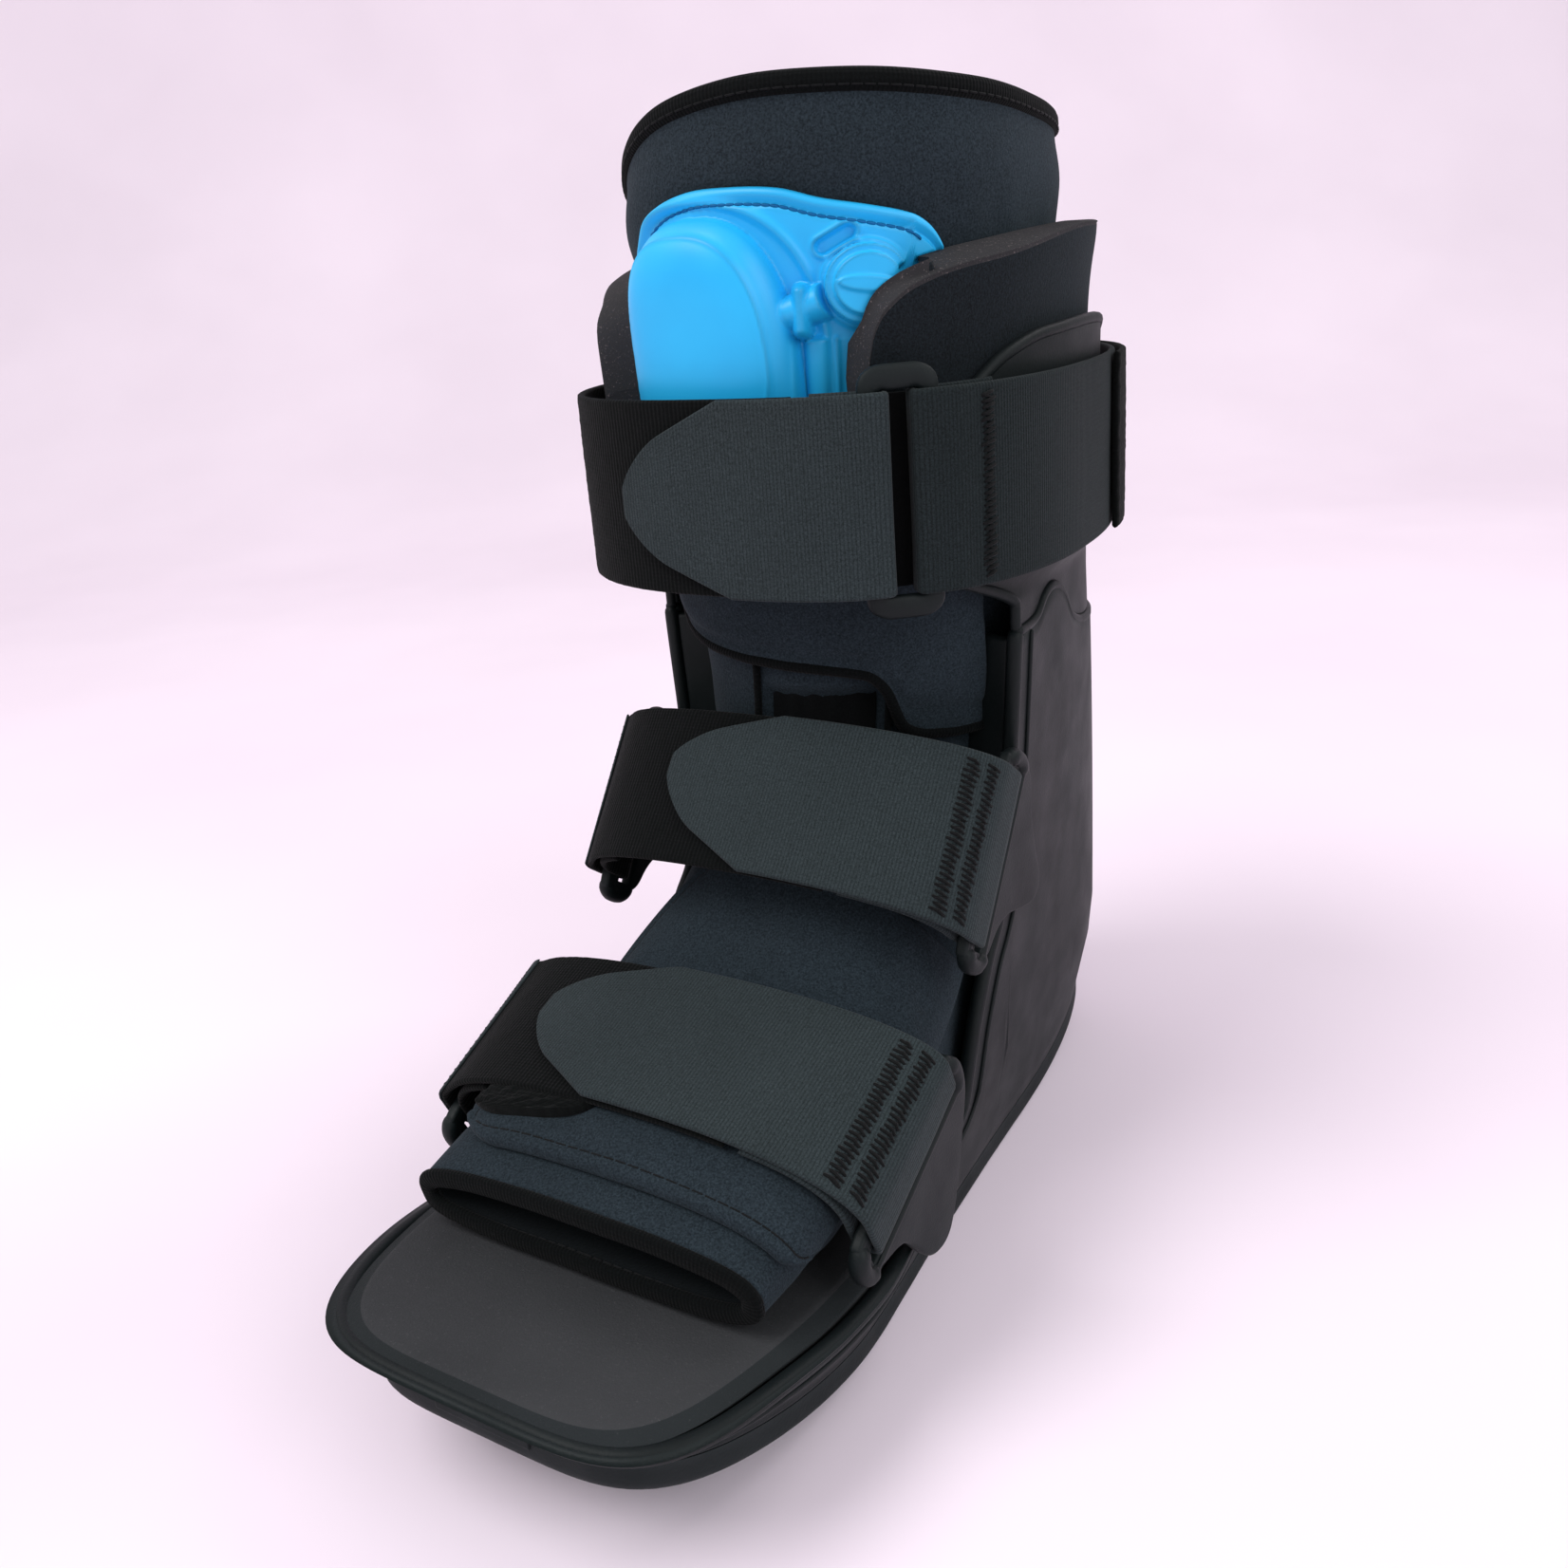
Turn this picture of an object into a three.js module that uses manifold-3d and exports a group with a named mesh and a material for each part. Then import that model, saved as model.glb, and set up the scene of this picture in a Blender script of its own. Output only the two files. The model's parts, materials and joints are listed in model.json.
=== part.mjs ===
// Walking boot for a healing foot or ankle: a rocker sole and plastic shell with side uprights,
// a padded bootie with an air pump, foam pads, and three pairs of touch-fastening straps.
// Millimetres, +Z up, toe towards -Y. The origin is under the middle of the boot, on the ground.
import * as THREE from 'three';
import Module from 'manifold-3d';

const wasm = await Module();
wasm.setup();

// Sole and shell sizes
const soleLength = 319;
const forefootWidth = 136;
const heelWidth = 105;
const treadThickness = 9;
const toeSpring = 32;
const heelRise = 16;
const flatLength = 90;
const footbedHeight = 24;
const footbedRise = 18;
const insoleThickness = 6;
const insoleBevel = 5;
const rimHeight = 46;
const shellWall = 4;
const shellHeight = 182;
const ankleFlare = 7.5;
const toeInset = 12;
const heelInset = 6;
const bumperWidth = 84;
const bumperThickness = 3;
const backOpeningWidth = 64;
const backOpeningSill = 104;
const grooveWidth = 4;
const grooveDepth = 2;
const groovePitch = 21;

// Upright sizes
const uprightWall = 3;

// Bootie sizes
const legWidth = 104;
const bootieWall = 5;
const flapThickness = 4;
const bindingHeight = 7;
const bindingWidth = 7;
const rimDip = 21;
const rimDipAngle = -75;

// Pad, pump and strap sizes
const padThickness = 10.4;
const standOffRadius = 50;
const standOffStart = 62;
const standOffTurn = 27;
const pumpSheet = 3;
const bulbHeight = 12;
const dialRadius = 10;
const dialThickness = 5;
const dialAngle = 32.5;
const strapWidth = 50.8;
const strapThickness = 2;
const loopThickness = 3.6;
const barHalf = 3.2;
const slotWidth = 5.4;
const midBarX = 61.5;
const lowBarX = 66.2;
const ringWidth = 20;
const ringThickness = 3.2;
const ringBar = 4;
const gap = 0.35;

// Heights that follow the shell: the top strap stands above it, and the leg's pieces above that strap's lower edge
const strapRise = 20;
const wingRise = 62;
const padRise = 86;
const dialDrop = 13;
const pumpRise = 14;
const bootieRise = 33;
const strapHeight = shellHeight + strapRise;
const wingHeight = strapHeight + wingRise;
const padHeight = strapHeight + padRise;
const dialHeight = padHeight - dialDrop;
const pumpHeight = padHeight + pumpRise;
const bootieHeight = padHeight + bootieRise;

const halfLength = soleLength / 2;
const halfFore = forefootWidth / 2;
const halfHeel = heelWidth / 2;
const halfLeg = legWidth / 2;
const deg = Math.PI / 180;

const clamp = (v, lo, hi) => Math.min(hi, Math.max(lo, v));
const mix = (a, b, k) => a + (b - a) * k;
const smooth = (v) => {
  const k = clamp(v, 0, 1);
  return k * k * (3 - 2 * k);
};
const power = (v, p) => Math.sign(v) * Math.abs(v) ** p;

// A smooth curve through the rows of a table: column `to` against column `from`
function curve(rows, from, to) {
  const slope = rows.map((row, i) => {
    const a = rows[Math.max(0, i - 1)];
    const b = rows[Math.min(rows.length - 1, i + 1)];
    return (b[to] - a[to]) / (b[from] - a[from]);
  });
  return (value) => {
    const v = clamp(value, rows[0][from], rows[rows.length - 1][from]);
    let i = 0;
    while (i < rows.length - 2 && v > rows[i + 1][from]) i += 1;
    const width = rows[i + 1][from] - rows[i][from];
    const k = (v - rows[i][from]) / width;
    const k2 = k * k;
    const k3 = k2 * k;
    return (2 * k3 - 3 * k2 + 1) * rows[i][to] + (k3 - 2 * k2 + k) * width * slope[i]
      + (3 * k2 - 2 * k3) * rows[i + 1][to] + (k3 - k2) * width * slope[i + 1];
  };
}

// Closed solids from rings of points
function cleanGeometry(points, faces) {
  const keys = new Map();
  const kept = [];
  const index = points.map((p) => {
    const key = p.map((v) => Math.round(v * 500)).join(',');
    if (!keys.has(key)) {
      keys.set(key, kept.length);
      kept.push(p);
    }
    return keys.get(key);
  });
  const triangles = [];
  for (const face of faces) {
    const [a, b, c] = face.map((i) => index[i]);
    if (a !== b && b !== c && c !== a) triangles.push([a, b, c]);
  }
  let volume = 0;
  for (const [a, b, c] of triangles) {
    const [p, q, r] = [kept[a], kept[b], kept[c]];
    volume += p[0] * (q[1] * r[2] - q[2] * r[1]) - p[1] * (q[0] * r[2] - q[2] * r[0])
      + p[2] * (q[0] * r[1] - q[1] * r[0]);
  }
  if (volume < 0) triangles.forEach((t) => t.reverse());
  const geometry = new THREE.BufferGeometry();
  geometry.setAttribute('position', new THREE.Float32BufferAttribute(kept.flat(), 3));
  geometry.setIndex(triangles.flat());
  return geometry;
}

// Rings of equal length joined one to the next. The last ring meets the first, or the ends are closed
// by strips: across from each point to its partner on the ring's other face, or on its mirrored side.
function loft(rings, { around = false, mirrored = false } = {}) {
  const count = rings[0].length;
  const faces = [];
  const pairs = around ? rings.length : rings.length - 1;
  for (let i = 0; i < pairs; i += 1) {
    const a = i * count;
    const b = ((i + 1) % rings.length) * count;
    for (let j = 0; j < count; j += 1) {
      const k = (j + 1) % count;
      faces.push([a + j, a + k, b + k], [a + j, b + k, b + j]);
    }
  }
  const partner = (j) => (mirrored ? (count - j) % count : count - 1 - j);
  const strip = (start, flip) => {
    for (let j = 0; j < count / 2; j += 1) {
      const [a, b, c, d] = [j, j + 1, partner(j + 1), partner(j)].map((at) => start + at);
      faces.push(flip ? [b, a, d] : [a, b, d], flip ? [c, b, d] : [b, c, d]);
    }
  };
  if (!around) {
    strip(0, true);
    strip((rings.length - 1) * count, false);
  }
  return cleanGeometry(rings.flat(), faces);
}

// A sheet with an outer and an inner face, each a grid of points with rows of equal length
function sheet(outer, inner) {
  return loft(outer.map((row, i) => [...row, ...[...inner[i]].reverse()]));
}

function toSolid(geometry) {
  const vertProperties = new Float32Array(geometry.attributes.position.array);
  const triVerts = new Uint32Array(geometry.index.array);
  return new wasm.Manifold(new wasm.Mesh({ numProp: 3, vertProperties, triVerts }));
}

function fromSolid(solid) {
  const { vertProperties, triVerts } = solid.getMesh();
  const points = [];
  for (let i = 0; i < vertProperties.length; i += 3) {
    points.push([vertProperties[i], vertProperties[i + 1], vertProperties[i + 2]]);
  }
  const faces = [];
  for (let i = 0; i < triVerts.length; i += 3) faces.push([triVerts[i], triVerts[i + 1], triVerts[i + 2]]);
  return cleanGeometry(points, faces);
}

// One of three's own geometries with its points joined
function cleaned(geometry) {
  const { array } = geometry.attributes.position;
  const points = [];
  for (let i = 0; i < array.length; i += 3) points.push([array[i], array[i + 1], array[i + 2]]);
  const order = geometry.index ? [...geometry.index.array] : points.map((_, i) => i);
  const faces = [];
  for (let i = 0; i < order.length; i += 3) faces.push(order.slice(i, i + 3));
  return cleanGeometry(points, faces);
}
const boxSolid = (w, d, h, x, y, z) => toSolid(cleaned(new THREE.BoxGeometry(w, d, h).translate(x, y, z)));

// Sole plan: `at` is a share of the length from the toe, `fore` how far the forefoot's width holds
const planRows = [
  { at: 0.00, fore: 1.00 },
  { at: 0.10, fore: 0.98 },
  { at: 0.20, fore: 1.00 },
  { at: 0.27, fore: 0.93 },
  { at: 0.32, fore: 0.78 },
  { at: 0.38, fore: 0.55 },
  { at: 0.45, fore: 0.36 },
  { at: 0.55, fore: 0.19 },
  { at: 0.65, fore: 0.06 },
  { at: 0.76, fore: 0.00 },
  { at: 1.00, fore: 0.00 },
];
const foreShare = curve(planRows, 'at', 'fore');
const share = (y) => clamp(y / soleLength + 0.5, 0, 1);
const halfWidth = (y) => mix(halfHeel, halfFore, foreShare(share(y)));
const insetAt = (y) => mix(heelInset, toeInset, foreShare(share(y)));

// Tread profile: level in the middle, rising to the toe and the heel
const flatMiddle = halfLength * 0.125;
function treadZ(y) {
  const front = flatMiddle - flatLength / 2;
  const back = flatMiddle + flatLength / 2;
  if (y < front) return toeSpring * ((front - y) / (halfLength + front)) ** 1.75;
  if (y > back) return heelRise * ((y - back) / (halfLength - back)) ** 2;
  return 0;
}

// Footbed of the shell: level under the heel, rising with the toe
const floorZ = (y) => footbedHeight + footbedRise * smooth((0.62 - share(y)) / 0.62) ** 0.9;
const soleTopZ = (y) => floorZ(y) + gap + insoleThickness;

// Rim of the shell: z as a share of the rim's height in front, of the shell's height behind
const rimRows = [
  { at: 0.00, low: 1.00, high: 0.00 },
  { at: 0.12, low: 0.96, high: 0.00 },
  { at: 0.22, low: 0.86, high: 0.00 },
  { at: 0.33, low: 0.77, high: 0.00 },
  { at: 0.42, low: 0.83, high: 0.00 },
  { at: 0.47, low: 0.92, high: 0.01 },
  { at: 0.50, low: 1.00, high: 0.01 },
  { at: 0.53, low: 1.00, high: 0.18 },
  { at: 0.56, low: 1.00, high: 0.30 },
  { at: 0.59, low: 1.00, high: 0.38 },
  { at: 0.606, low: 1.00, high: 0.48 },
  { at: 0.614, low: 1.00, high: 0.74 },
  { at: 0.618, low: 1.00, high: 1.00 },
  { at: 1.00, low: 1.00, high: 1.00 },
];
const lowRim = curve(rimRows, 'at', 'low');
const highRim = curve(rimRows, 'at', 'high');
const uprightFront = soleLength * (0.618 - 0.5);

// Seam between the shell and the uprights: rise as a share of the shell's height
const seamRows = [
  { at: 0.60, rise: 0.005 },
  { at: 0.64, rise: 0.000 },
  { at: 0.67, rise: 0.005 },
  { at: 0.695, rise: 0.028 },
  { at: 0.725, rise: 0.034 },
  { at: 0.76, rise: 0.012 },
  { at: 0.80, rise: -0.045 },
  { at: 0.88, rise: -0.080 },
  { at: 1.00, rise: -0.090 },
];
const seamRise = curve(seamRows, 'at', 'rise');
const seamZ = (y) => shellHeight * (1 + seamRise(share(y)));
const seamCrest = shellHeight * (1 + Math.max(...seamRows.map((row) => row.rise)));
function rimZ(y) {
  const low = rimHeight * lowRim(share(y));
  return low + (seamZ(y) - low) * clamp(highRim(share(y)), 0, 1);
}

// Wall of the shell in plan, at an angle from the toe (0) over the right side (90 degrees) to the heel (180)
function wallPoint(angle, z, grow = 0) {
  const c = Math.cos(angle);
  const s = Math.sin(angle);
  const up = clamp((z - rimHeight) / (shellHeight - rimHeight), 0, 1);
  const n = c < 0 ? mix(5, 3.4, up) : 5;
  const reach = halfLength - (c < 0 ? heelInset * up : 0);
  const r = (Math.abs(s) ** n + Math.abs(c) ** n) ** (-1 / n);
  const y0 = -halfLength * r * c;
  const foot = treadZ(y0) + treadThickness;
  const low = Math.min(rimZ(y0), rimHeight);
  const inset = insetAt(y0) * (1 - clamp((z - foot) / Math.max(1, low - foot), 0, 1));
  const out = grow - inset;
  const x = (halfWidth(y0) + ankleFlare * up + out) * r * s;
  const y = -(reach + out * 0.7) * r * c;
  return [x, y, z];
}

const rimAt = (angle) => rimZ(wallPoint(angle, rimHeight)[1]);

// Stations round the plan, closer together at the corners and the uprights' front edges
const cornerAngles = [0, 12, 22, 30, 36, 41, 45, 49, 54, 61, 70, 80];
function stationAngles() {
  const right = [...cornerAngles, 90, ...cornerAngles.map((angle) => 180 - angle)];
  for (const at of [0.5, 0.53, 0.56, 0.59, 0.606, 0.614, 0.618, 0.64, 0.695, 0.725, 0.8]) {
    right.push(Math.atan2(halfLength, -soleLength * (at - 0.5)) / deg);
  }
  right.sort((a, b) => a - b);
  const apart = right.filter((v, i) => i === 0 || v - right[i - 1] > 0.5);
  const left = apart.slice(1, -1).reverse().map((v) => 360 - v);
  return [...apart, ...left].map((v) => v * deg);
}
const stations = stationAngles();

// A ring that follows the wall's plan on the surface height(y)
const plate = (height, grow = 0) => stations.map((angle) => {
  const rough = wallPoint(angle, 0, grow);
  const [x, y] = wallPoint(angle, height(rough[1]), grow);
  return [x, y, height(y)];
});

function bumperBand(grow, top) {
  const rows = [];
  const steps = 22;
  const limit = Math.atan2(bumperWidth / 2 + grow, halfLength);
  for (let i = 0; i <= steps; i += 1) {
    const angle = mix(-limit, limit, i / steps);
    const outer = wallPoint(angle, rimHeight);
    const low = treadZ(outer[1]) + 1 - grow;
    const outside = [low, mix(low, top, 0.33), mix(low, top, 0.66), top];
    const ring = outside.map((z) => wallPoint(angle, z, grow > 0 ? 2 : 0));
    const inside = [...outside].reverse().map((z) => wallPoint(angle, z, -bumperThickness - grow));
    rows.push([...ring, ...inside]);
  }
  return toSolid(loft(rows));
}
const bumperTop = rimHeight - 3.5;

function outsole() {
  const under = (y) => treadZ(y);
  const over = (y) => treadZ(y) + treadThickness - gap;
  const chamfer = treadThickness / 3;
  const rings = [
    plate(under, -chamfer),
    plate((y) => under(y) + chamfer),
    plate(over),
  ];
  let solid = toSolid(loft(rings, { mirrored: true })).add(bumperBand(0, bumperTop));
  const reachOfGrooves = halfLength * 0.8;
  for (let y = -reachOfGrooves; y < reachOfGrooves; y += groovePitch) {
    if (Math.abs(y - flatMiddle) < groovePitch * 0.9) continue;
    const z = treadZ(y);
    solid = solid.subtract(boxSolid(forefootWidth, grooveWidth, grooveDepth * 2, 0, y, z));
  }
  return fromSolid(solid);
}

function shell() {
  const under = (y) => treadZ(y) + treadThickness;
  const levels = [0, 0.12, 0.26, 0.5, 0.75, 1];
  const wall = (grow, base, k) => {
    const foot = plate(base, grow);
    return stations.map((angle, i) => {
      const top = rimAt(angle) - gap;
      return k === 0 ? foot[i] : wallPoint(angle, mix(foot[i][2], top, k), grow);
    });
  };
  const rings = [
    ...levels.map((k) => wall(0, under, k)),
    ...[...levels].reverse().map((k) => wall(-shellWall, floorZ, k)),
  ];
  let solid = toSolid(loft(rings, { mirrored: true }));
  solid = solid.subtract(bumperBand(2 * gap, bumperTop + 2 * gap));
  const outline = new THREE.Shape();
  const half = backOpeningWidth / 2;
  outline.moveTo(-half, backOpeningSill + half * 0.7);
  outline.quadraticCurveTo(-half, backOpeningSill, 0, backOpeningSill);
  outline.quadraticCurveTo(half, backOpeningSill, half, backOpeningSill + half * 0.7);
  outline.lineTo(half * 1.15, shellHeight * 1.2);
  outline.lineTo(-half * 1.15, shellHeight * 1.2);
  const cutter = new THREE.ExtrudeGeometry(outline, { depth: halfLength, bevelEnabled: false, curveSegments: 8 });
  cutter.rotateX(Math.PI / 2).translate(0, halfLength * 1.2, 0);
  return fromSolid(solid.subtract(toSolid(cleaned(cutter))));
}

function insole() {
  const edge = -shellWall - 3 * gap;
  const under = (y) => floorZ(y) + gap;
  const over = (y) => floorZ(y) + gap + insoleThickness;
  const rings = [
    plate(under, edge),
    plate((y) => over(y) - insoleThickness * 0.45, edge),
    plate(over, edge - insoleBevel),
  ];
  return loft(rings, { mirrored: true });
}

// Bootie sections from the toe opening round the heel to the top. Each lies in a plane through its
// back point and its front point: y as a share of half the sole, z of the bootie's height (0 rests on
// the insole), width of half the leg's width, and how square the back and the front halves are.
const bootieRows = [
  { backY: -0.665, backZ: 0.000, frontY: -0.677, frontZ: 0.212, width: 1.04, back: 3.6, front: 2.6 },
  { backY: -0.589, backZ: 0.000, frontY: -0.596, frontZ: 0.230, width: 1.05, back: 3.6, front: 2.5 },
  { backY: -0.470, backZ: 0.000, frontY: -0.477, frontZ: 0.248, width: 1.05, back: 3.6, front: 2.4 },
  { backY: -0.345, backZ: 0.000, frontY: -0.364, frontZ: 0.262, width: 1.04, back: 3.6, front: 2.4 },
  { backY: -0.207, backZ: 0.000, frontY: -0.251, frontZ: 0.276, width: 1.01, back: 3.6, front: 2.3 },
  { backY: -0.050, backZ: 0.000, frontY: -0.169, frontZ: 0.304, width: 0.98, back: 3.4, front: 2.3 },
  { backY: 0.125, backZ: 0.000, frontY: -0.100, frontZ: 0.336, width: 0.95, back: 3.2, front: 2.3 },
  { backY: 0.345, backZ: 0.000, frontY: -0.050, frontZ: 0.371, width: 0.93, back: 3.0, front: 2.3 },
  { backY: 0.577, backZ: 0.000, frontY: -0.019, frontZ: 0.405, width: 0.92, back: 2.8, front: 2.3 },
  { backY: 0.784, backZ: 0.110, frontY: 0.000, frontZ: 0.439, width: 0.92, back: 2.7, front: 2.3 },
  { backY: 0.880, backZ: 0.150, frontY: 0.012, frontZ: 0.470, width: 0.92, back: 2.6, front: 2.3 },
  { backY: 0.900, backZ: 0.230, frontY: 0.022, frontZ: 0.502, width: 0.92, back: 2.5, front: 2.3 },
  { backY: 0.885, backZ: 0.336, frontY: 0.028, frontZ: 0.536, width: 0.94, back: 2.4, front: 2.3 },
  { backY: 0.850, backZ: 0.455, frontY: 0.028, frontZ: 0.586, width: 0.96, back: 2.3, front: 2.3 },
  { backY: 0.810, backZ: 0.580, frontY: 0.022, frontZ: 0.648, width: 0.98, back: 2.3, front: 2.3 },
  { backY: 0.785, backZ: 0.704, frontY: 0.006, frontZ: 0.736, width: 1.00, back: 2.3, front: 2.3 },
  { backY: 0.775, backZ: 0.816, frontY: -0.012, frontZ: 0.835, width: 1.015, back: 2.3, front: 2.3 },
  { backY: 0.775, backZ: 0.904, frontY: -0.038, frontZ: 0.931, width: 1.10, back: 2.3, front: 2.3 },
  { backY: 0.775, backZ: 0.954, frontY: -0.047, frontZ: 1.000, width: 1.145, back: 2.3, front: 2.3 },
];
bootieRows.forEach((row, i) => {
  row.at = i;
  const rest = i === 0 ? (bindingWidth - bootieWall) / 2 + 2 * gap : 2 * gap;
  row.backLevel = Math.max(row.backZ * bootieHeight, soleTopZ(row.backY * halfLength) + rest);
});
const lastRow = bootieRows.length - 1;
const bootieCurves = {};
for (const name of ['backY', 'backLevel', 'frontY', 'frontZ', 'width', 'back', 'front']) {
  bootieCurves[name] = curve(bootieRows, 'at', name);
}

// The bootie's top edge dips on the left side
const dipAt = (at, angle) => (
  rimDip * Math.exp((Math.cos(angle - rimDipAngle * deg) - 1) * 4.1) * smooth((at - lastRow + 2.2) / 2.2));

// A point of the bootie: row along it, angle from the front over the right side, grown outwards
function bootiePoint(at, angle, grow = 0) {
  const value = (name) => bootieCurves[name](at);
  const back = [value('backY') * halfLength, value('backLevel')];
  const front = [value('frontY') * halfLength, value('frontZ') * bootieHeight];
  const span = Math.hypot(front[0] - back[0], front[1] - back[1]);
  const c = Math.cos(angle);
  const s = Math.sin(angle);
  const n = value(c > 0 ? 'front' : 'back');
  const r = (Math.abs(s) ** n + Math.abs(c) ** n) ** (-1 / n);
  const along = 0.5 + (0.5 + grow / span) * r * c;
  return [
    (value('width') * halfLeg + grow) * r * s,
    mix(back[0], front[0], along),
    mix(back[1], front[1], along) - dipAt(at, angle),
  ];
}
const bootieAngles = Array.from({ length: 24 }, (_, i) => (2 * Math.PI * i) / 24);
const bootieRing = (at, grow) => bootieAngles.map((angle) => bootiePoint(at, angle, grow));

function rowAtHeight(angle, z) {
  let low = 9;
  let high = lastRow;
  for (let i = 0; i < 24; i += 1) {
    const middle = (low + high) / 2;
    if (bootiePoint(middle, angle)[2] < z) low = middle;
    else high = middle;
  }
  return (low + high) / 2;
}

function bootie() {
  const rows = bootieRows.map((row) => row.at);
  return loft([
    ...rows.map((at) => bootieRing(at, 0)),
    ...[...rows].reverse().map((at) => bootieRing(at, -bootieWall)),
  ], { around: true });
}

// A bound edge: a rounded ring that sits past the end of the bootie's wall
function binding(at, direction) {
  const middle = -bootieWall / 2;
  const section = [
    [-1.0, 0.0], [-0.85, 0.65], [-0.4, 1.0], [0.4, 1.0], [0.85, 0.65], [1.0, 0.0],
  ];
  const rings = section.map(([out, up]) => bootieAngles.map((angle) => {
    const base = bootiePoint(at, angle, middle + (out * bindingWidth) / 2);
    return [0, 1, 2].map((axis) => base[axis] + direction[axis] * (gap + up * bindingHeight));
  }));
  return loft(rings, { around: true });
}

// A sheet that follows the bootie between two angles and two heights or rows
function overlay({ rows, columns, rowAt, angleAt, inner, outer }) {
  const grid = (grow) => Array.from({ length: rows + 1 }, (_, i) => (
    Array.from({ length: columns + 1 }, (__, j) => {
      const angle = angleAt(j / columns, i / rows);
      return bootiePoint(rowAt(i / rows, angle, j / columns), angle, grow(i / rows, j / columns));
    })));
  return sheet(grid(outer), grid(inner));
}

const footFlapRows = [
  { at: 0.15, left: -48, right: 87 },
  { at: 1, left: -48, right: 86 },
  { at: 3, left: -46, right: 84 },
  { at: 5, left: -44, right: 82 },
  { at: 6, left: -36, right: 80 },
  { at: 6.8, left: -20, right: 76 },
];
const footFlapLeft = curve(footFlapRows, 'at', 'left');
const footFlapRight = curve(footFlapRows, 'at', 'right');
const footFlapStart = footFlapRows[0].at;
const footFlapEnd = footFlapRows[footFlapRows.length - 1].at;
function footFlap() {
  const row = (i) => mix(footFlapStart, footFlapEnd, i);
  return overlay({
    rows: 10,
    columns: 10,
    rowAt: (i) => row(i),
    angleAt: (j, i) => mix(footFlapLeft(row(i)), footFlapRight(row(i)), j) * deg,
    inner: () => 2 * gap,
    outer: () => 2 * gap + flapThickness,
  });
}

// Lower edge of the cuff's flap: height as a share of the bootie's, against the angle
const cuffRows = [
  { angle: -52, low: 0.600 },
  { angle: -44, low: 0.570 },
  { angle: -30, low: 0.552 },
  { angle: 0, low: 0.541 },
  { angle: 28, low: 0.534 },
  { angle: 36, low: 0.510 },
  { angle: 50, low: 0.505 },
  { angle: 62, low: 0.505 },
];
const cuffLow = curve(cuffRows, 'angle', 'low');
const padLow = strapHeight + 6;
function cuffFlap() {
  const first = cuffRows[0].angle;
  const last = cuffRows[cuffRows.length - 1].angle;
  return overlay({
    rows: 6,
    columns: 12,
    rowAt: (i, angle) => rowAtHeight(angle, mix(bootieHeight * cuffLow(angle / deg), padLow - 2, i)),
    angleAt: (j) => mix(first, last, j) * deg,
    inner: () => 2 * gap,
    outer: () => 2 * gap + flapThickness,
  });
}

// Foam pads inside the wings, from their front edge (0) to their back edge (1):
// top edge as a share of the pads' height
const padRows = [
  { k: 0.00, top: 0.885 },
  { k: 0.02, top: 0.935 },
  { k: 0.06, top: 0.962 },
  { k: 0.14, top: 0.979 },
  { k: 0.27, top: 0.990 },
  { k: 0.56, top: 1.000 },
  { k: 0.90, top: 1.000 },
  { k: 0.97, top: 0.980 },
  { k: 1.00, top: 0.945 },
];
const padTop = curve(padRows, 'k', 'top');
const padFront = { right: 29, left: 40 };
const padBack = 138;
const padTopZ = (label, angle) => {
  const k = (Math.abs(angle) / deg - padFront[label]) / (padBack - padFront[label]);
  return padHeight * padTop(k);
};

// Pads and wings are stiffer than the bootie, so towards their front edges they stand off its curve
function standOff(angle) {
  const turn = clamp(standOffStart - Math.abs(angle) / deg, 0, standOffTurn) * deg;
  return standOffRadius * (1 / Math.cos(turn) - 1);
}
function foamPad(label, side) {
  const turn = (j) => side * mix(padFront[label], padBack, j ** 1.35) * deg;
  const pad = overlay({
    rows: 5,
    columns: 15,
    rowAt: (i, angle) => rowAtHeight(angle, mix(padLow, padTopZ(label, angle), i)),
    angleAt: turn,
    inner: (i, j) => 2 * gap + standOff(turn(j)),
    outer: (i, j) => 2 * gap + standOff(turn(j)) + padThickness,
  });
  return side > 0 ? fromSolid(toSolid(pad).subtract(toSolid(pumpValve(2 * gap)))) : pad;
}

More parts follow.
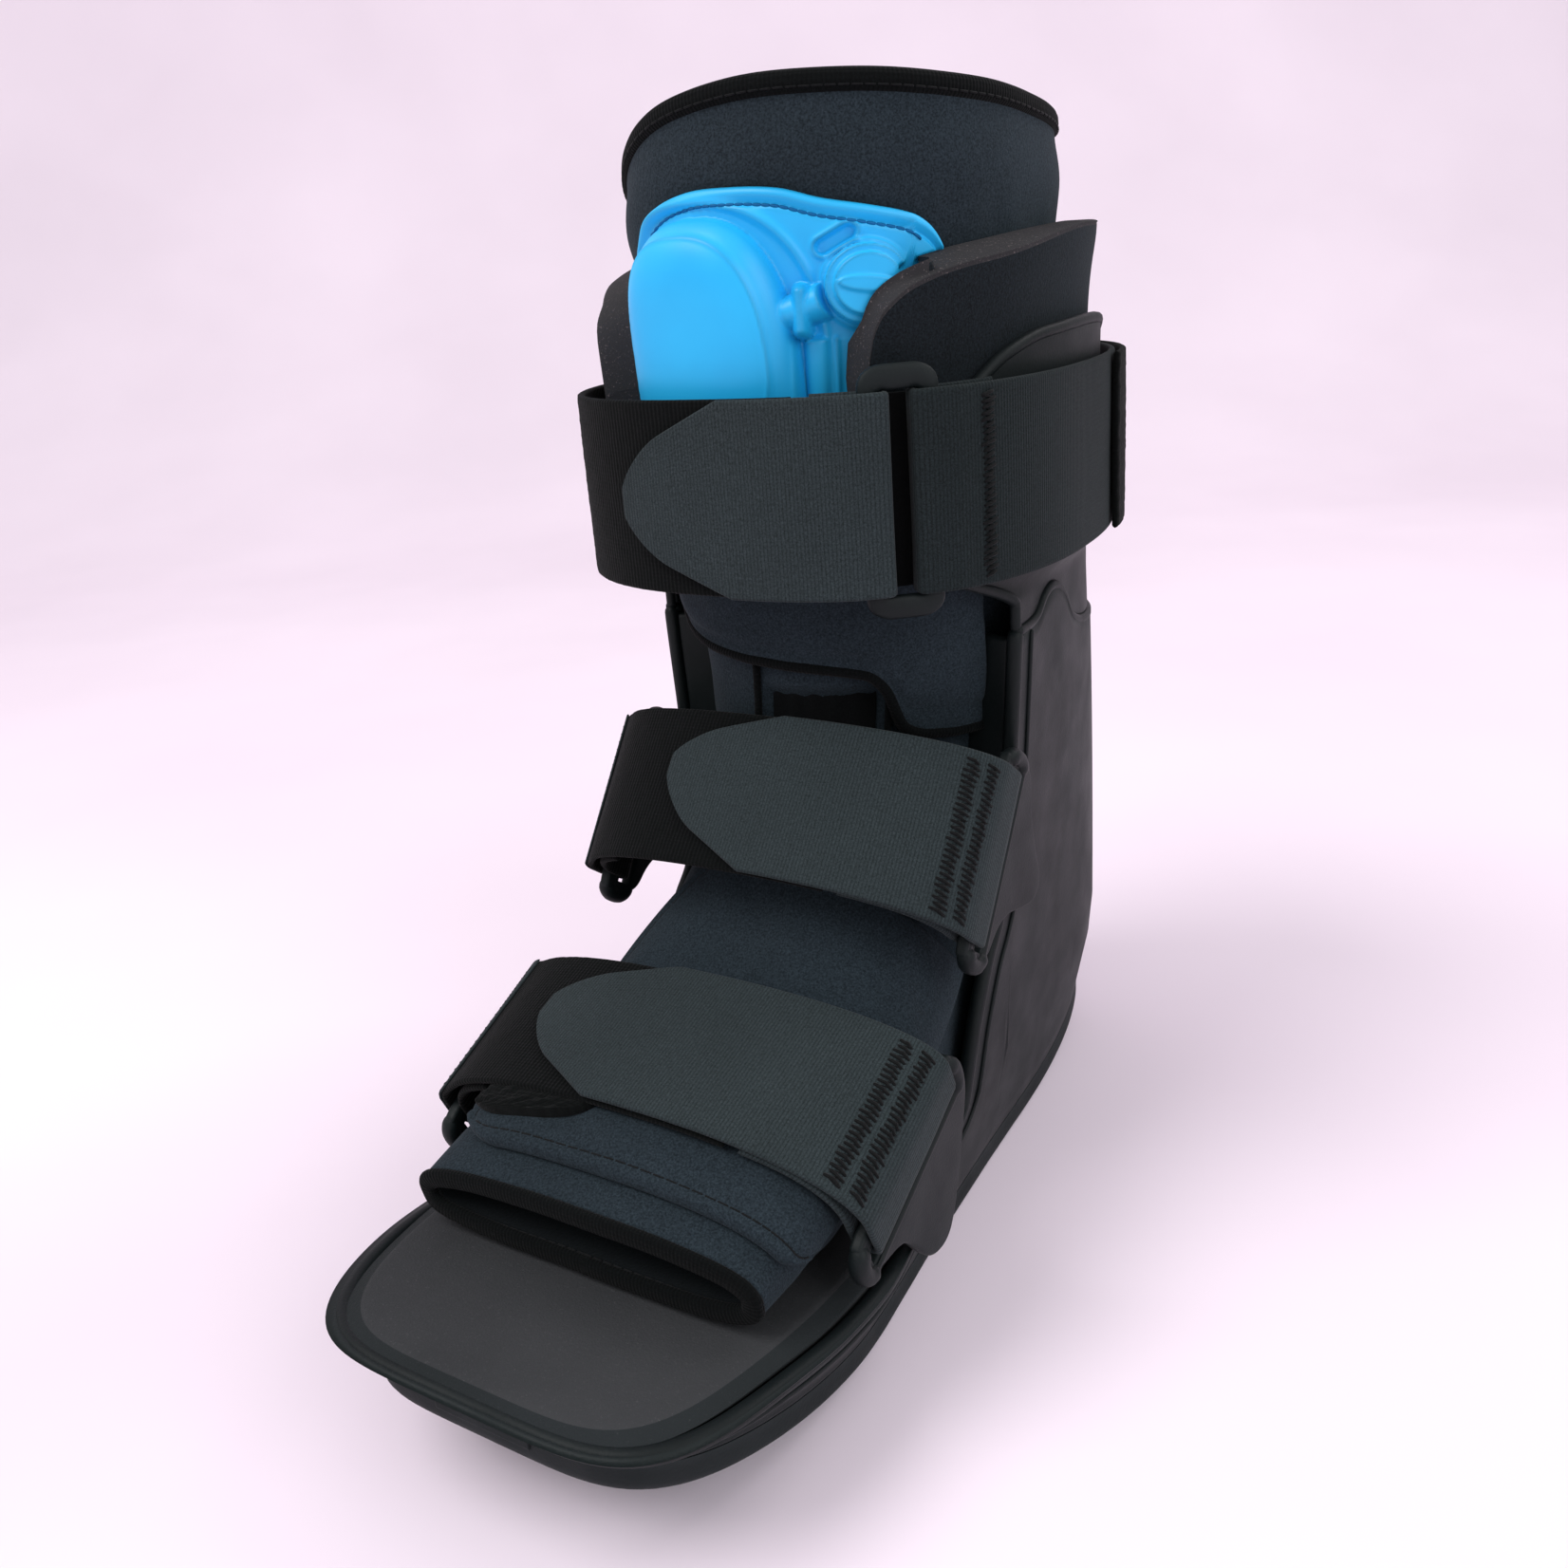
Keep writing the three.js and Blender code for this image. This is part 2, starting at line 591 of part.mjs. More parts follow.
// Uprights: from the seam with the shell they spread into calf wings
const wingRows = [
  { k: 0.00, angle: 47, top: 0.945 },
  { k: 0.08, angle: 55, top: 0.972 },
  { k: 0.17, angle: 64, top: 0.990 },
  { k: 0.30, angle: 77, top: 1.000 },
  { k: 0.70, angle: 116, top: 1.000 },
  { k: 0.88, angle: 130, top: 0.950 },
  { k: 1.00, angle: 135, top: 0.860 },
];
const wingAngle = curve(wingRows, 'k', 'angle');
const wingTop = curve(wingRows, 'k', 'top');
const wingOffset = padThickness + 5 * gap;
const uprightBack = Math.PI - Math.atan2((backOpeningWidth / 2 + 3) / (halfHeel + ankleFlare), 0.95);
function upright(side) {
  const rows = 7;
  const front = Math.atan2(halfLength, -uprightFront - gap);
  const columns = stations.filter((angle) => angle > front + 0.01 && angle < uprightBack - 0.03);
  columns.unshift(front);
  columns.push(uprightBack);
  const point = (i, station, k, grow) => {
    const start = rimAt(station) + gap;
    const z = mix(start, wingHeight * wingTop(k), (i / rows) ** 1.2);
    const base = wallPoint(station, z, grow - shellWall);
    const angle = wingAngle(k) * deg;
    const wing = bootiePoint(rowAtHeight(angle, z), angle, wingOffset + standOff(angle) + grow);
    const spread = smooth((z - seamCrest - 1) / (strapHeight - seamCrest - 2));
    return [side * mix(base[0], wing[0], spread), mix(base[1], wing[1], spread), z];
  };
  const levels = columns.map((station) => wallPoint(station, shellHeight)[1]);
  const depth = levels[levels.length - 1] - levels[0];
  const grid = (grow) => Array.from({ length: rows + 1 }, (_, i) => (
    columns.map((station, j) => point(i, station, (levels[j] - levels[0]) / depth, grow))));
  return sheet(grid(uprightWall), grid(0));
}

// Strap loops: a plate on the shell's side with a slot, its outline along the bar (u) and behind it (v),
// u as a share of half the bar, v of the plate's reach
const midLoop = {
  x: midBarX,
  middle: [0.040, 0.690],
  direction: Math.atan2(0.816, 0.578),
  reach: 43,
  outline: [
    [1.00, -0.07], [1.06, 0.20], [1.02, 0.38], [0.63, 0.55], [0.33, 0.79], [0.10, 1.01],
    [-0.16, 0.98], [-0.31, 0.74], [-0.43, 0.51], [-0.64, 0.38], [-0.92, 0.33], [-1.02, 0.16], [-1.00, -0.07],
  ],
};
const lowLoop = {
  x: lowBarX,
  middle: [-0.374, 0.3885],
  direction: Math.atan2(0.421, 0.907),
  reach: 45,
  outline: [
    [1.00, -0.07], [1.10, 0.10], [1.14, 0.28], [0.93, 0.47], [0.68, 0.66], [0.36, 0.90],
    [0.08, 1.02], [-0.22, 0.92], [-0.34, 0.72], [-0.43, 0.48], [-0.58, 0.38], [-0.80, 0.31],
    [-1.02, 0.20], [-1.00, -0.07],
  ],
};
const barLength = strapWidth + 8;
const slotMiddle = barHalf + slotWidth / 2;
for (const loop of [midLoop, lowLoop]) {
  loop.along = [Math.cos(loop.direction), Math.sin(loop.direction)];
  loop.behind = [Math.sin(loop.direction), -Math.cos(loop.direction)];
  loop.y = loop.middle[0] * halfLength;
  loop.z = loop.middle[1] * shellHeight;
}
const loopPoint = (loop, side, u, v, x) => [
  side * x,
  loop.y + u * loop.along[0] + v * loop.behind[0],
  loop.z + u * loop.along[1] + v * loop.behind[1],
];

function strapLoop(loop, side) {
  const corners = loop.outline.map(([u, v]) => new THREE.Vector2((u * barLength) / 2, v * loop.reach));
  const shape = new THREE.Shape();
  const count = corners.length;
  const middleOf = (i) => corners[i].clone().add(corners[(i + 1) % count]).multiplyScalar(0.5);
  const start = middleOf(count - 1);
  shape.moveTo(start.x, start.y);
  for (let i = 0; i < count; i += 1) {
    const next = middleOf(i);
    const pull = i === 0 || i === count - 1 ? 0.35 : 1;
    const before = corners[i].clone().lerp(corners[(i + count - 1) % count], 0.12);
    const after = corners[i].clone().lerp(next, 0.25);
    if (pull < 1) {
      shape.lineTo(before.x, before.y);
      shape.quadraticCurveTo(corners[i].x, corners[i].y, after.x, after.y);
      shape.lineTo(next.x, next.y);
    } else {
      shape.quadraticCurveTo(corners[i].x, corners[i].y, next.x, next.y);
    }
  }
  const half = strapWidth / 2 + 1;
  const slot = new THREE.Path();
  const left = slotMiddle - slotWidth / 2;
  const right = slotMiddle + slotWidth / 2;
  slot.moveTo(-half, left);
  slot.lineTo(-half, right);
  slot.lineTo(half, right);
  slot.lineTo(half, left);
  slot.lineTo(-half, left);
  shape.holes.push(slot);
  const plateGeometry = new THREE.ExtrudeGeometry(shape, {
    depth: loopThickness, bevelEnabled: false, curveSegments: 3,
  });
  const flat = plateGeometry.attributes.position.array;
  const points = [];
  for (let i = 0; i < flat.length; i += 3) {
    points.push(loopPoint(loop, side, flat[i], flat[i + 1], loop.x - loopThickness / 2 + flat[i + 2]));
  }
  const faces = points.map((p, i) => i).filter((i) => i % 3 === 0).map((i) => [i, i + 1, i + 2]);
  return cleanGeometry(points, faces);
}

// Lower straps arch over the foot from loop to loop. `crown` is where the outer face of the strap's
// upper and lower edges lie in the middle, y as a share of half the sole, z of the shell's height.
const midArch = { loop: midLoop, upper: [-0.021, 0.899], lower: [-0.216, 0.706], square: 2.25 };
const lowArch = { loop: lowLoop, upper: [-0.263, 0.547], lower: [-0.570, 0.475], square: 2.25 };
const layer = strapThickness + gap;
const archReach = (arch) => arch.loop.x + loopThickness / 2 + gap + strapThickness / 2;

// A point of the arch at an angle from the crown, on the strap's edge: -1 the lower, 1 the upper
function archPoint(arch, angle, edge, lift) {
  const { loop } = arch;
  const foot = loopPoint(loop, 1, (edge * strapWidth) / 2, -barHalf - gap, 0);
  const crown = edge > 0 ? arch.upper : arch.lower;
  const dy = crown[0] * halfLength - foot[1];
  const dz = crown[1] * shellHeight - foot[2];
  const rise = Math.hypot(dy, dz) - strapThickness / 2;
  const s = power(Math.sin(angle), 2 / arch.square);
  const c = power(Math.cos(angle), 2 / arch.square);
  const k = ((rise + lift) * c) / Math.hypot(dy, dz);
  return [(archReach(arch) + lift) * s, foot[1] + dy * k, foot[2] + dz * k];
}

const between = (a, b, k) => a.map((v, i) => mix(v, b[i], k));

function archStation(arch, angle, lift, { from = 0, to = 1, half = strapThickness / 2 } = {}) {
  const corner = (l, k) => between(archPoint(arch, angle, -1, l), archPoint(arch, angle, 1, l), k);
  return [corner(lift + half, to), corner(lift + half, from), corner(lift - half, from), corner(lift - half, to)];
}

// The fold of a strap round its bar, from the outer run to the return underneath
function foldStations(arch, side, steps) {
  const list = [];
  const { loop } = arch;
  const depth = barHalf + gap + strapThickness / 2;
  const wide = loopThickness / 2 + gap + strapThickness / 2;
  for (let i = 0; i <= steps; i += 1) {
    const turn = (Math.PI * i) / steps;
    const station = (t) => {
      const x = loop.x + power(Math.cos(turn), 1 / 3) * (wide + t);
      const v = power(Math.sin(turn), 1 / 3) * (depth + t);
      return [-1, 1].map((edge) => loopPoint(loop, side, (edge * strapWidth) / 2, v, x));
    };
    const half = strapThickness / 2;
    const [outLow, outHigh] = station(half);
    const [inLow, inHigh] = station(-half);
    list.push([outHigh, outLow, inLow, inHigh]);
  }
  return list;
}

// One strap: folded round the bar on its own side, running over the arch to its end
function archStrap(arch, side, { lift, end, tip, back, backLift }) {
  const list = [];
  const top = 88;
  const returnSteps = 6;
  for (let i = 0; i <= returnSteps; i += 1) {
    const k = i / returnSteps;
    const under = -(loopThickness + 2 * gap + strapThickness);
    const angle = side * mix(back, top, k) * deg;
    const inwards = -strapThickness / 2;
    list.push(archStation(arch, angle, mix(backLift, under, smooth(k * 1.25 - 0.25)), { half: inwards }));
  }
  const fold = foldStations(arch, side, 8).reverse();
  list.push(...fold.slice(1, -1));
  const runSteps = 18;
  for (let i = 0; i <= runSteps; i += 1) {
    const k = i / runSteps;
    const angle = side * mix(top, end, k);
    const narrow = tip ? clamp((k - tip) / (1 - tip), 0, 1) : 0;
    const cut = 0.5 * (1 - Math.sqrt(Math.max(0, 1 - (narrow * 0.9) ** 2.2)));
    const raise = mix(0, lift, smooth(k * 6));
    list.push(archStation(arch, angle * deg, raise, { from: cut, to: 1 - cut }));
  }
  return loft(list);
}

// Top strap: an upright oval round the calf wings
const topOval = { a: 0.706, front: 0.514, back: 0.549, middle: 0.351, square: 2.6 };
function ovalPoint(angle, lift, z) {
  const c = Math.cos(angle);
  const s = Math.sin(angle);
  const n = topOval.square;
  const r = (Math.abs(s) ** n + Math.abs(c) ** n) ** (-1 / n);
  const reach = (c > 0 ? topOval.front : topOval.back) * halfLength;
  return [
    (topOval.a * legWidth + lift) * r * s,
    topOval.middle * halfLength - (reach + lift) * r * c,
    z,
  ];
}
const topOuter = -strapThickness / 2;
const topInner = topOuter - layer;
const ringAngle = 40 * deg;
const ringSink = ringWidth ** 2 / (8 * halfLeg);
const ringCentre = ovalPoint(ringAngle, topOuter - (ringThickness + strapThickness) / 2 - gap - ringSink, 0);
const ringTangent = (() => {
  const a = ovalPoint(ringAngle - 0.02, 0, 0);
  const b = ovalPoint(ringAngle + 0.02, 0, 0);
  const length = Math.hypot(b[0] - a[0], b[1] - a[1]);
  return [(b[0] - a[0]) / length, (b[1] - a[1]) / length];
})();
const ringPoint = (along, out, z) => [
  ringCentre[0] + along * ringTangent[0] + out * ringTangent[1],
  ringCentre[1] + along * ringTangent[1] - out * ringTangent[0],
  z,
];
const strapMiddle = strapHeight + strapWidth / 2;

function topStation(angle, lift, { from = 0, to = 1, half = strapThickness / 2 } = {}) {
  const z = (k) => strapHeight + strapWidth * k;
  return [
    ovalPoint(angle, lift + half, z(to)), ovalPoint(angle, lift + half, z(from)),
    ovalPoint(angle, lift - half, z(from)), ovalPoint(angle, lift - half, z(to)),
  ];
}

// Half turn of a strap round one bar of the ring: side -1 the hook strap's bar, 1 the back strap's
function ringFold(side, steps) {
  const half = strapThickness / 2;
  const wide = ringThickness / 2 + gap + half;
  const deep = ringBar / 2 + gap + half;
  const top = strapHeight + strapWidth;
  const list = [];
  for (let i = 0; i <= steps; i += 1) {
    const turn = (Math.PI * i) / steps;
    const corner = (t, z) => {
      const along = ringWidth / 2 - ringBar / 2 - power(Math.sin(turn), 1 / 3) * (deep + t);
      return ringPoint(side * along, power(Math.cos(turn), 1 / 3) * (wide + t), z);
    };
    list.push([corner(half, top), corner(half, strapHeight), corner(-half, strapHeight), corner(-half, top)]);
  }
  return list;
}
const ringReturn = topOuter - ringThickness - 2 * gap - strapThickness - 1.6 * ringSink;

function topStrapHook() {
  const start = 31.5;
  const end = -20;
  const steps = 16;
  const list = [];
  for (let i = 0; i < 4; i += 1) {
    list.push(topStation(mix(23, start, i / 3) * deg, ringReturn, { half: -strapThickness / 2 }));
  }
  list.push(...ringFold(-1, 6).reverse());
  for (let i = 0; i <= steps; i += 1) {
    const k = i / steps;
    const narrow = clamp((k - 0.55) / 0.45, 0, 1);
    const cut = 0.5 * (1 - Math.sqrt(Math.max(0, 1 - (narrow * 0.9) ** 2.2)));
    list.push(topStation(mix(start, end, k) * deg, topOuter, { from: cut * 0.8, to: 1 - cut * 1.2 }));
  }
  return loft(list);
}

function topStrapPile() {
  const steps = 30;
  return loft(Array.from({ length: steps + 1 }, (_, i) => topStation(mix(20, -178, i / steps) * deg, topInner)));
}

function topStrapBack() {
  const steps = 24;
  const start = 49;
  const list = [];
  for (let i = 0; i < 4; i += 1) {
    list.push(topStation(mix(62, start, i / 3) * deg, ringReturn, { half: -strapThickness / 2 }));
  }
  list.push(...ringFold(1, 6).reverse());
  for (let i = 0; i <= steps; i += 1) {
    const k = i / steps;
    list.push(topStation(mix(start, 180, k) * deg, mix(topOuter, topInner, smooth((k - 0.2) * 3))));
  }
  return loft(list);
}

function backPatch() {
  const steps = 14;
  return loft(Array.from({ length: steps + 1 }, (_, i) => topStation(mix(108, 196, i / steps) * deg, topOuter + 2 * gap)));
}

function topRing() {
  const outline = (w, h, r) => {
    const s = new THREE.Shape();
    s.moveTo(-w / 2 + r, -h / 2);
    s.lineTo(w / 2 - r, -h / 2);
    s.quadraticCurveTo(w / 2, -h / 2, w / 2, -h / 2 + r);
    s.lineTo(w / 2, h / 2 - r);
    s.quadraticCurveTo(w / 2, h / 2, w / 2 - r, h / 2);
    s.lineTo(-w / 2 + r, h / 2);
    s.quadraticCurveTo(-w / 2, h / 2, -w / 2, h / 2 - r);
    s.lineTo(-w / 2, -h / 2 + r);
    s.quadraticCurveTo(-w / 2, -h / 2, -w / 2 + r, -h / 2);
    return s;
  };
  const frame = outline(ringWidth, strapWidth + 8, 3);
  frame.holes.push(outline(ringWidth - 2 * ringBar, strapWidth + 1.2, 0.6));
  const geometry = new THREE.ExtrudeGeometry(frame, { depth: ringThickness, bevelEnabled: false, curveSegments: 4 });
  const places = geometry.attributes.position;
  for (let i = 0; i < places.count; i += 1) {
    const across = places.getX(i);
    const out = places.getZ(i) - ringThickness / 2;
    places.setXYZ(i, ...ringPoint(across, out, strapMiddle + places.getY(i)));
  }
  return cleaned(geometry);
}

// Pump: a moulded sheet on the front of the bootie, top edge as a share of the pump's height
const pumpRows = [
  { angle: -36, top: 0.900 },
  { angle: -34, top: 0.945 },
  { angle: -29, top: 0.972 },
  { angle: -18, top: 0.990 },
  { angle: 0, top: 1.000 },
  { angle: 14, top: 1.000 },
  { angle: 32, top: 0.986 },
  { angle: 45, top: 0.970 },
  { angle: 50, top: 0.957 },
];
const pumpTop = curve(pumpRows, 'angle', 'top');
const pumpLow = 0.745;
function pumpPanel() {
  const columns = [-36, -34, -29, -22, -15, -8, 0, 7, 14, 21, 26, 31, 36, 39.5, 41, 44, 48, 50];
  return overlay({
    rows: 5,
    columns: columns.length - 1,
    rowAt: (i, angle) => {
      const low = angle > 40 * deg ? padTopZ('right', angle) + 4 * gap : pumpHeight * pumpLow;
      return rowAtHeight(angle, mix(low, pumpHeight * pumpTop(angle / deg), i));
    },
    angleAt: (j) => columns[Math.round(j * (columns.length - 1))] * deg,
    inner: () => gap,
    outer: () => gap + pumpSheet,
  });
}

// Bulb: a crowned cushion on the panel
const bulb = { left: -33, right: 15, low: 0.76, high: 0.968 };
function pumpBulb() {
  const rise = (i, j) => {
    const across = Math.abs(2 * j - 1);
    const up = Math.abs(2 * i - 1);
    return (1 - across ** 4) * (1 - up ** 4);
  };
  return overlay({
    rows: 8,
    columns: 10,
    rowAt: (i, angle, j) => {
      const squeeze = 0.07 * (2 * j - 1) ** 4;
      const low = pumpHeight * (bulb.low + squeeze * 0.6);
      const high = pumpHeight * (bulb.high - squeeze);
      return rowAtHeight(angle, mix(low, high, i));
    },
    angleAt: (j) => mix(bulb.left, bulb.right, j) * deg,
    inner: () => 2 * gap + pumpSheet,
    outer: (i, j) => 2 * gap + pumpSheet + 1 + bulbHeight * rise(i, j) ** 0.6,
  });
}

// Valve's dial. Grown by a clearance it is also the pocket that it needs in the pad over it.
function pumpValve(grow = 0) {
  const angle = dialAngle * deg;
  const at = rowAtHeight(angle, dialHeight);
  const foot = 2 * gap + pumpSheet + 1.6;
  const base = bootiePoint(at, angle, foot);
  const tip = bootiePoint(at, angle, foot + 1);
  const normal = new THREE.Vector3(tip[0] - base[0], tip[1] - base[1], 0).normalize();
  const depth = dialThickness + 8 * grow;
  const dial = new THREE.CylinderGeometry(dialRadius * 0.9 + grow, dialRadius + grow, depth, 20);
  dial.rotateX(Math.PI / 2);
  dial.lookAt(normal);
  const middle = normal.multiplyScalar(dialThickness + grow - depth / 2);
  dial.translate(base[0] + middle.x, base[1] + middle.y, base[2]);
  return cleaned(dial);
}

const colours = {
  rubber: [0x2a2c2f, 0.8],
  plastic: [0x2b2e32, 0.45],
  foam: [0x3a3437, 0.95],
  knit: [0x20242f, 0.95],
  trim: [0x171b1d, 0.9],
  webbing: [0x2c2e30, 0.9],
  pile: [0x17181a, 1.0],
  pump: [0x2a96e0, 0.35],
};
function node(name, geometry, finish) {
  const [color, roughness] = colours[finish];
  const mesh = new THREE.Mesh(geometry, new THREE.MeshStandardMaterial({ color, roughness, metalness: 0 }));
  mesh.name = name;
  return mesh;
}

const boot = new THREE.Group();
boot.add(
  node('outsole', outsole(), 'rubber'),
  node('shell', shell(), 'plastic'),
  node('insole', insole(), 'foam'),
  node('bootie', bootie(), 'knit'),
  node('bootie_top_binding', binding(lastRow, [0, 0, 1]), 'trim'),
  node('bootie_toe_binding', binding(0, [0, -1, 0]), 'trim'),
  node('foot_flap', footFlap(), 'knit'),
  node('cuff_flap', cuffFlap(), 'knit'),
  node('pump_panel', pumpPanel(), 'pump'),
  node('pump_bulb', pumpBulb(), 'pump'),
  node('pump_valve', pumpValve(), 'pump'),
  node('top_ring', topRing(), 'plastic'),
  node('top_strap_hook', topStrapHook(), 'webbing'),
  node('top_strap_pile', topStrapPile(), 'pile'),
  node('top_strap_back', topStrapBack(), 'webbing'),
  node('back_patch', backPatch(), 'pile'),
);
for (const [label, side] of [['right', 1], ['left', -1]]) {
  boot.add(
    node(`upright_${label}`, upright(side), 'plastic'),
    node(`foam_pad_${label}`, foamPad(label, side), 'foam'),
    node(`mid_loop_${label}`, strapLoop(midLoop, side), 'plastic'),
    node(`low_loop_${label}`, strapLoop(lowLoop, side), 'plastic'),
  );
}
for (const [label, arch] of [['mid', midArch], ['low', lowArch]]) {
  boot.add(
    node(`${label}_strap_hook`, archStrap(arch, 1, {
      lift: 0, end: -24, tip: 0.72, back: 30, backLift: -layer,
    }), 'webbing'),
    node(`${label}_strap_pile`, archStrap(arch, -1, {
      lift: -layer, end: -26, tip: 0, back: 46, backLift: -2.3 * layer,
    }), 'pile'),
  );
}

const box = new THREE.Box3().setFromObject(boot);
boot.position.set(-(box.min.x + box.max.x) / 2, -(box.min.y + box.max.y) / 2, -box.min.z);

export default boot;
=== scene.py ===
# Walking boot for a healing foot or ankle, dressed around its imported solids.
# Sizes are millimetres in the part's own frame (+Z up, toe towards -Y) and become metres in the meshes.
import json
import math

import bpy
import numpy as np
from mathutils import Matrix, Vector

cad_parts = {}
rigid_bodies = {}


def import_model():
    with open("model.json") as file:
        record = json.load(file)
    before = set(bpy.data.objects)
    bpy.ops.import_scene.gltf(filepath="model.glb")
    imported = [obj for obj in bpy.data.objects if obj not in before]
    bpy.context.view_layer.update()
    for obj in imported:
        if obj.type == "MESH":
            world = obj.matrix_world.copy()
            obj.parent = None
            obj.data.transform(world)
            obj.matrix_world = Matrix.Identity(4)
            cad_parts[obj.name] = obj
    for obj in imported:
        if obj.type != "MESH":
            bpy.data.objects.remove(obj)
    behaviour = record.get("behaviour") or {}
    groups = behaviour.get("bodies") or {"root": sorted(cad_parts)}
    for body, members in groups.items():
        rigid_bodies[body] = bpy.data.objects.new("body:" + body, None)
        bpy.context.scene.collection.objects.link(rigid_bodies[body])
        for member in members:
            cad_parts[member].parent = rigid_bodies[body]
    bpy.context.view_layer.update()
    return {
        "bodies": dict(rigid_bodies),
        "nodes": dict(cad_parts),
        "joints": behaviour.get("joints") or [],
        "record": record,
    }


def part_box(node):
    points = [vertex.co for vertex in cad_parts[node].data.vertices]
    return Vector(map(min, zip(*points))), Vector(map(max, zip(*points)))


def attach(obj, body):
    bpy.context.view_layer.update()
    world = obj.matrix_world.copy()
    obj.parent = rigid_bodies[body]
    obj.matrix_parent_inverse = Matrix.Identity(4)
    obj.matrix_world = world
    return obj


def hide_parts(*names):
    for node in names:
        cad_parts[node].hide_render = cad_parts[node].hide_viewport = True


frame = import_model()
MM = 0.001
MIDDLE_X = (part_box("low_loop_left")[0].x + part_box("low_loop_right")[1].x) / 2 / MM
SHIFT = np.array([MIDDLE_X, 0.0, 0.0])
DEG = math.pi / 180

# Sizes shared with the solids
SOLE_LENGTH = 319
FOREFOOT_WIDTH = 136
HEEL_WIDTH = 105
TREAD_THICKNESS = 9
TOE_SPRING = 32
HEEL_RISE = 16
FLAT_LENGTH = 90
FOOTBED_HEIGHT = 24
FOOTBED_RISE = 18
INSOLE_THICKNESS = 6
INSOLE_BEVEL = 5
RIM_HEIGHT = 46
SHELL_WALL = 4
SHELL_HEIGHT = 182
ANKLE_FLARE = 7.5
TOE_INSET = 12
HEEL_INSET = 6
BUMPER_WIDTH = 84
BACK_OPENING_WIDTH = 64
BACK_OPENING_SILL = 104
WING_HEIGHT = 264
UPRIGHT_WALL = 3
BOOTIE_HEIGHT = 321
LEG_WIDTH = 104
BOOTIE_WALL = 5
FLAP_THICKNESS = 4
BINDING_WIDTH = 7
RIM_DIP = 21
RIM_DIP_ANGLE = -75
STAND_OFF_RADIUS = 50
STAND_OFF_START = 62
STAND_OFF_TURN = 27
DIAL_ANGLE = 32.5
DIAL_HEIGHT = 275
PAD_THICKNESS = 10.4
PAD_HEIGHT = 288
PUMP_HEIGHT = 302
STRAP_WIDTH = 50.8
STRAP_THICKNESS = 2
STRAP_HEIGHT = 202
LOOP_THICKNESS = 3.6
BAR_HALF = 3.2
SLOT_WIDTH = 5.4
MID_BAR_X = 61.5
LOW_BAR_X = 66.2
RING_WIDTH = 20
RING_THICKNESS = 3.2
RING_BAR = 4
GAP = 0.35
MM_PER_DEGREE = 1.02

HALF_LENGTH = SOLE_LENGTH / 2
HALF_FORE = FOREFOOT_WIDTH / 2
HALF_HEEL = HEEL_WIDTH / 2
HALF_LEG = LEG_WIDTH / 2


def mix(a, b, k):
    return a + (b - a) * k


def smooth(v):
    k = np.clip(v, 0, 1)
    return k * k * (3 - 2 * k)


def power(v, p):
    return np.sign(v) * np.abs(v) ** p


def curve(rows, column):
    """A smooth curve through the rows of a table: that column against the first one."""
    xs = np.array([row[0] for row in rows], float)
    ys = np.array([row[column] for row in rows], float)
    at = np.arange(len(xs))
    low, high = np.maximum(at - 1, 0), np.minimum(at + 1, len(xs) - 1)
    slope = (ys[high] - ys[low]) / (xs[high] - xs[low])

    def value(v):
        v = np.clip(np.asarray(v, float), xs[0], xs[-1])
        i = np.clip(np.searchsorted(xs, v, side="right") - 1, 0, len(xs) - 2)
        width = xs[i + 1] - xs[i]
        k = (v - xs[i]) / width
        k2, k3 = k * k, k * k * k
        return (
            (2 * k3 - 3 * k2 + 1) * ys[i]
            + (k3 - 2 * k2 + k) * width * slope[i]
            + (3 * k2 - 2 * k3) * ys[i + 1]
            + (k3 - k2) * width * slope[i + 1]
        )

    return value


def ripple(points, wavelength, seed):
    """Soft noise from -1 to 1 over points in mm: a few crossed waves with fixed phases."""
    rng = np.random.default_rng(seed)
    total = np.zeros(points.shape[:-1])
    for octave in range(5):
        way = rng.normal(size=3)
        way *= 2 * math.pi / (np.linalg.norm(way) * wavelength * rng.uniform(0.6, 1.5))
        bend = rng.normal(size=3)
        bend *= 2 * math.pi / (np.linalg.norm(bend) * wavelength * 2.3)
        total += np.sin(points @ way + rng.uniform(0, 6.3) + 1.5 * np.sin(points @ bend))
    return total / 3.2


# Meshes


def add_mesh(name, points, faces, materials, uv=None, pick=None, body="root"):
    """A piece from points in mm. uv is one pair a point; pick gives each face its material."""
    data = bpy.data.meshes.new(name)
    placed = (np.asarray(points, float).reshape(-1, 3) + SHIFT) * MM
    data.from_pydata(placed.tolist(), [], [list(map(int, f)) for f in faces])
    if uv is not None:
        layer = data.uv_layers.new(name="weave")
        corner = np.zeros(len(data.loops), np.int32)
        data.loops.foreach_get("vertex_index", corner)
        layer.data.foreach_set("uv", np.asarray(uv, np.float32).reshape(-1, 2)[corner].ravel())
    data.validate()
    data.shade_smooth()
    for material in materials:
        data.materials.append(material)
    if pick is not None:
        data.polygons.foreach_set("material_index", np.asarray(pick, np.int32))
    data.update()
    piece = bpy.data.objects.new(name, data)
    bpy.context.scene.collection.objects.link(piece)
    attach(piece, body)
    return piece


def dress(piece, slot, *nodes):
    if nodes:
        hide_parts(*nodes)
    return piece


def grid_faces(index, around_rows=False, around_columns=False):
    """Quads over a grid of point numbers."""
    if around_rows:
        index = np.vstack([index, index[:1]])
    if around_columns:
        index = np.hstack([index, index[:, :1]])
    a, b = index[:-1, :-1], index[:-1, 1:]
    c, d = index[1:, 1:], index[1:, :-1]
    return np.stack([a, b, c, d], -1).reshape(-1, 4)


